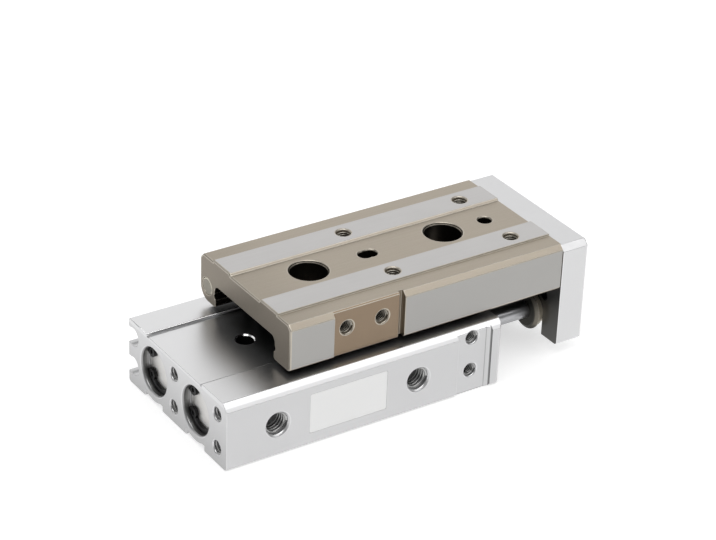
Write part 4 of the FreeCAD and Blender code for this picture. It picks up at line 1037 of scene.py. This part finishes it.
@dataclass
class Body:
    """The extruded body with its ports, taps and bare label plate."""

    edge: float = 0.25
    usual: float = 0.48
    seat_low: float = 14.4
    mount_reach: float = 2.3
    port_at: Span = (-21.55, 12.4)
    port_height: float = 7.4
    end_columns: Span = (-16.2, 1.1)
    end_rows: Span = (3.7, 11.5)
    side_tap: Span = (26.1, -19.3)
    side_rows: Span = (5.15, 13.05)
    label_x: Span = (-14.0, 4.6)
    label_z: Span = (2.8, 12.0)
    label_depth: float = 0.06
    label_corner: float = 0.45
    label_wall: float = 0.02
    label_section: tuple[Span, ...] = (
        (0.04, 0.0), (0.04, 0.040), (0.055, 0.048), (0.30, 0.048), (0.33, 0.044), (0.38, 0.044)
    )

    def edge_weights(self, form: BMesh) -> Weights:
        """Sink the label's seat, and choose how far single edges are broken.

        Args:
            form: The body's merged mesh.

        Returns:
            Weights of the edges that differ from the rest.
        """
        weights = {edge: 0.0 for edge in self.label_seat(form)}
        for edge in form.edges:
            across, other = (vert.co.y / MM - CENTRE for vert in edge.verts)
            low = min(vert.co.z for vert in edge.verts) / MM
            if abs(across - other) < 0.01 and low > self.seat_low and abs(across) < SEAT_HALF + 0.05:
                far_rim = across > SEAT_HALF - 0.05 and low > BODY_TOP - 0.1
                weights[edge] = 1.0 if far_rim else 0.0
            if all(self.by_mount(vert.co) for vert in edge.verts):
                weights[edge] = 0.0
        return weights

    def by_mount(self, place: Vector) -> bool:
        """Whether a place lies on the rim of a mounting hole."""
        reach = math.hypot(abs(place.x / MM) - MOUNT_X, place.y / MM - CENTRE)
        return reach < self.mount_reach and place.z / MM > BODY_TOP - 0.8

    def label_seat(self, form: BMesh) -> set[BMEdge]:
        """Sink the label's seat into the near side.

        Args:
            form: The body's merged mesh.

        Returns:
            The seat's edges, which stay sharp.
        """
        cuts = [((x, 0, 0), (1, 0, 0)) for x in self.label_x]
        cuts += [((0, 0, z), (0, 0, 1)) for z in self.label_z]
        for place, normal in cuts:
            faces = self.near_faces(form)
            parts = {part for face in faces for part in (face, *face.edges, *face.verts)}
            bmesh.ops.bisect_plane(
                form, geom=list(parts), plane_co=Vector(place) * MM, plane_no=normal, dist=1e-7
            )
        inside = [face for face in self.near_faces(form) if self.on_label(face.calc_center_median())]
        wall, depth = self.label_wall * MM, -self.label_depth * MM
        bmesh.ops.inset_region(form, faces=inside, thickness=wall, depth=depth)
        walls = [face for face in form.faces if self.is_wall(face)]
        return {edge for face in (*inside, *walls) for edge in face.edges}

    def is_wall(self, face: BMFace) -> bool:
        """Whether a face is a side wall of the label's seat.

        Args:
            face: A face of the body.

        Returns:
            True where it is.
        """
        middle = face.calc_center_median()
        near = middle.y < (BODY_NEAR + 0.2) * MM
        return near and self.on_label(middle, 0.05) and abs(face.normal.y) < 0.9

    def near_faces(self, form: BMesh) -> list[BMFace]:
        """The flat faces of the near side."""
        level = (BODY_NEAR + 0.01) * MM
        return [face for face in form.faces if face.normal.y < -0.999 and face.calc_center_median().y < level]

    def on_label(self, place: Vector, spare: float = 0.0) -> bool:
        """Whether a place lies behind the label, or within some spare millimetres of it."""
        ways = ((place.x, self.label_x), (place.z, self.label_z))
        return all(low - spare < value / MM < high + spare for value, (low, high) in ways)

    def outline(self, inset: float, y: float) -> list[Place]:
        """The label's outline with round corners.

        Args:
            inset: How far the outline is drawn in.
            y: The plane that it lies in.

        Returns:
            The points, in turn round the label.
        """
        radius = self.label_corner
        x_low, x_high = self.label_x[0] + inset + radius, self.label_x[1] - inset - radius
        z_low, z_high = self.label_z[0] + inset + radius, self.label_z[1] - inset - radius
        corners = [(x_high, z_high), (x_low, z_high), (x_low, z_low), (x_high, z_low)]
        turns = [(x, z, 90 * quarter) for quarter, (x, z) in enumerate(corners)]
        points = [(x, z, math.radians(turn + 15 * step)) for x, z, turn in turns for step in range(7)]
        return [(x + radius * math.cos(angle), y, z + radius * math.sin(angle)) for x, z, angle in points]

    def label(self) -> None:
        """Lay the bare pale plate in its seat, with round corners and a thin raised film edge."""
        floor = BODY_NEAR + self.label_depth
        rings = [self.outline(inset, floor - lift) for inset, lift in self.label_section]
        mesh = lofted("label_plate", rings)
        mesh.materials.append(LABEL_FILM.material())
        dress(placed(mesh, "label_plate"), Rides.BASE, "body_anodised")

    def build(self) -> None:
        """Make the body, its label and its threads."""
        base = (Rides.BASE, "body_anodised")
        Machined("body", *base, BODY_SKIN, self.edge, self.edge_weights, self.usual).build()
        self.label()
        ports = [(x, BODY_NEAR, self.port_height) for x in self.port_at]
        ends = [(BODY_REAR, y, z) for y in self.end_columns for z in self.end_rows]
        sides = [(*self.side_tap, z) for z in self.side_rows]
        Threads("port_threads", *base, THREAD_METAL, ports, Into.SIDEWAYS, 5.5, 2.5, 0.8, 0.42).build()
        Threads("rear_tap_threads", *base, THREAD_METAL, ends, Into.FORWARD, 7.0).build()
        Threads("side_tap_threads", *base, THREAD_METAL, sides, Into.SIDEWAYS, 5.5).build()


@dataclass
class Cylinders:
    """What shows at the ends of the two bores, and what moves inside them."""

    bush_face: Span = (4.3, 3.85)
    bush_chamfer: Span = (0.35, 0.6)
    rubber: tuple[str, ...] = (
        "head_cap_oring_", "rod_cover_oring_", "head_bumper_", "rod_bumper_", "rod_seal_", "piston_seal_"
    )

    def widen_chamfer(self, form: BMesh) -> Weights:
        """Draw the chamfer round a bush's rear face out to the width that it is turned to.

        Args:
            form: The bush's merged mesh.

        Returns:
            No weights, as no edge differs from the rest.
        """
        drawn, turned = self.bush_chamfer
        for vert in form.verts:
            side = math.copysign(BORE_OFFSET, vert.co.y - CENTRE * MM)
            axis = Vector((vert.co.x, (CENTRE + side) * MM, BORE_HEIGHT * MM))
            behind = vert.co.x / MM - BUSH_REAR
            if (vert.co - axis).length < (self.bush_face[0] - 0.05) * MM or behind > drawn + 0.05:
                continue
            if behind < drawn / 2:
                vert.co = axis + (vert.co - axis) * (self.bush_face[1] / self.bush_face[0])
            else:
                vert.co.x = (BUSH_REAR + turned) * MM
        return {}

    def build(self) -> None:
        """Make the plugs, the rings, the rod guides, the rods and the pistons."""
        base, slide = Rides.BASE, Rides.SLIDE
        parts = (
            ("head_cap_", base, "cap_aluminium", CAP_METAL, 0.12),
            ("snap_ring_", base, "spring_steel", SPRING_STEEL, 0.06),
            ("rod_cover_", base, "cap_aluminium", CAP_METAL),
            ("rod_cover_ring_", base, "spring_steel", SPRING_STEEL, 0.06),
            ("piston_rod_", slide, "rod_chrome", CHROME),
            ("floating_bush_", slide, "bush_steel", BUSH_STEEL, 0.12, self.widen_chamfer),
            ("piston_", slide, "cap_aluminium", CAP_METAL),
        )
        for side in ("near", "far"):
            for part, *rest in parts:
                Machined(part + side, *rest).build()
            for part in self.rubber:
                coat(part + side, RUBBER)
            coat("piston_magnet_" + side, MAGNET)


@dataclass
class Guide:
    """The guide block with its rows of balls, its return covers and its wipers."""

    ball_radius: float = 0.8
    ball_count: int = 8
    ball_pitch: float = 4.1
    ball_offset: float = 11.35
    ball_height: float = 19.1

    def balls(self) -> None:
        """Lay a row of balls in each raceway."""
        growth = GrowthTree("ball_row_growth", {
            "Count": self.ball_count,
            "Step": (self.ball_pitch * MM, 0.0, 0.0),
            "Radius": self.ball_radius * MM,
        })
        spacing = {"Count": growth.wire("Count"), "Offset": growth.wire("Step")}
        line = growth.node("GeometryNodeMeshLine", {"mode": "OFFSET"}, spacing)
        round_form = {"Segments": 24, "Rings": 12, "Radius": growth.wire("Radius")}
        ball = growth.node("GeometryNodeMeshUVSphere", inputs=round_form)
        row = growth.node("GeometryNodeInstanceOnPoints", inputs={"Points": line, "Instance": ball})
        growth.plant(row, turned=False)
        first = (GUIDE_REAR + GUIDE_FRONT) / 2 - self.ball_pitch * (self.ball_count - 1) / 2
        for side, way in (("near", -1), ("far", 1)):
            start = (first, CENTRE + way * self.ball_offset, self.ball_height)
            row = growth.grow("ball_row_" + side, [start], BALL_STEEL)
            dress(row, Rides.BASE, "ball_steel", "balls_" + side)

    def build(self) -> None:
        """Make the guide."""
        Machined("guide_block", Rides.BASE, "guide_steel", GUIDE_STEEL).build()
        for end in ("rear", "front"):
            Machined("return_cover_" + end, Rides.BASE, "cover_plastic", PLASTIC, 0.12).build()
            Machined("scraper_" + end, Rides.BASE, "seal_rubber", RUBBER, 0.08).build()
        for node in ("guide_block_screws", "return_cover_screws"):
            Machined(node, Rides.BASE, "screw_steel", SCREW_STEEL, 0.06).build()
        self.balls()


@dataclass
class Table:
    """The steel table that rides on the guide."""

    tap_x: Span = (12.8, 42.8)
    tap_y: Span = (-8.4, 10.4)
    ceiling: float = 21.7
    pad_face: float = -16.1
    side_tap_x: Span = (-3.2, 5.4)
    side_tap_height: float = 22.5

    def build(self) -> None:
        """Make the table, its plug and its threads."""
        slide = (Rides.SLIDE, "table_steel")
        Machined("table", *slide, TABLE_STEEL, 0.14).build()
        Machined("table_plug", *slide, PLUG_STEEL, 0.28).build()
        tops = [(x, y, TABLE_TOP) for x in self.tap_x for y in self.tap_y]
        depth = TABLE_TOP - self.ceiling
        sides = [(x, self.pad_face, self.side_tap_height) for x in self.side_tap_x]
        Threads("table_tap_threads", *slide, TABLE_THREAD, tops, Into.DOWN, depth).build()
        Threads("table_side_threads", *slide, TABLE_THREAD, sides, Into.SIDEWAYS, 3.8).build()


@dataclass
class EndPlate:
    """The plate across the front, with the screws that hold it and the rods."""

    screw_offsets: tuple[float, ...] = (-5.2, 5.2, -14.6, 14.6)
    screw_height: float = 23.5
    screw_head: Span = (2.25, 2.5)
    screw_radius: float = 1.25
    screw_sunk: float = 0.3
    screw_bite: float = 6.0
    rod_screw_head: Span = (2.6, 2.4)
    rod_screw_shank: Span = (1.2, 7.0)
    neck: float = 3.6
    tap_offset: float = 15.0
    tap_rows: Span = (8.1, 18.1)
    tap_depth: float = 4.6
    pin_reach: float = 1.4

    def edge_weights(self, form: BMesh) -> Weights:
        """Keep the rims of the pin holes in the rear face crisp.

        Args:
            form: The plate's merged mesh.

        Returns:
            Weights of the edges that differ from the rest.
        """
        weights = {}
        for edge in form.edges:
            middle = (edge.verts[0].co + edge.verts[1].co) / 2 / MM
            reach = math.hypot(abs(middle.y - CENTRE) - PIN_OFFSET, middle.z - PIN_HEIGHT)
            if reach < self.pin_reach and middle.x < PLATE_REAR + 1.0:
                weights[edge] = 0.0
        return weights

    def screws(self) -> None:
        """Make the plate's own screws and the two that hold the rods."""
        seat = PLATE_FRONT - self.screw_sunk - self.screw_head[1]
        shank = (self.screw_radius, seat - PLATE_REAR + self.screw_bite)
        seats = [(seat, CENTRE + offset, self.screw_height) for offset in self.screw_offsets]
        rods = [(PLATE_REAR + self.neck, CENTRE + way * BORE_OFFSET, BORE_HEIGHT) for way in (-1, 1)]
        for node, places, *sizes in (
            ("end_plate_screws", seats, self.screw_head, shank),
            ("rod_end_screws", rods, self.rod_screw_head, self.rod_screw_shank),
        ):
            SocketScrews(node, Rides.SLIDE, places, Into.BACKWARD, *sizes).build()

    def build(self) -> None:
        """Make the plate, its screws and its threads."""
        slide = (Rides.SLIDE, "body_anodised")
        Machined("end_plate", *slide, PLATE_SKIN, 0.16, self.edge_weights).build()
        self.screws()
        columns = (CENTRE - self.tap_offset, CENTRE + self.tap_offset)
        taps = [(PLATE_FRONT, y, z) for y in columns for z in self.tap_rows]
        Threads("plate_tap_threads", *slide, THREAD_METAL, taps, Into.BACKWARD, self.tap_depth).build()


def main() -> None:
    """Build the studio and the sub-assemblies in order."""
    logging.basicConfig(level=logging.INFO, format="%(name)s: %(message)s")
    for assembly in (Studio(), Body(), Cylinders(), Guide(), Table(), EndPlate()):
        log.info("building %s", type(assembly).__name__)
        assembly.build()


if __name__ == "__main__":
    main()
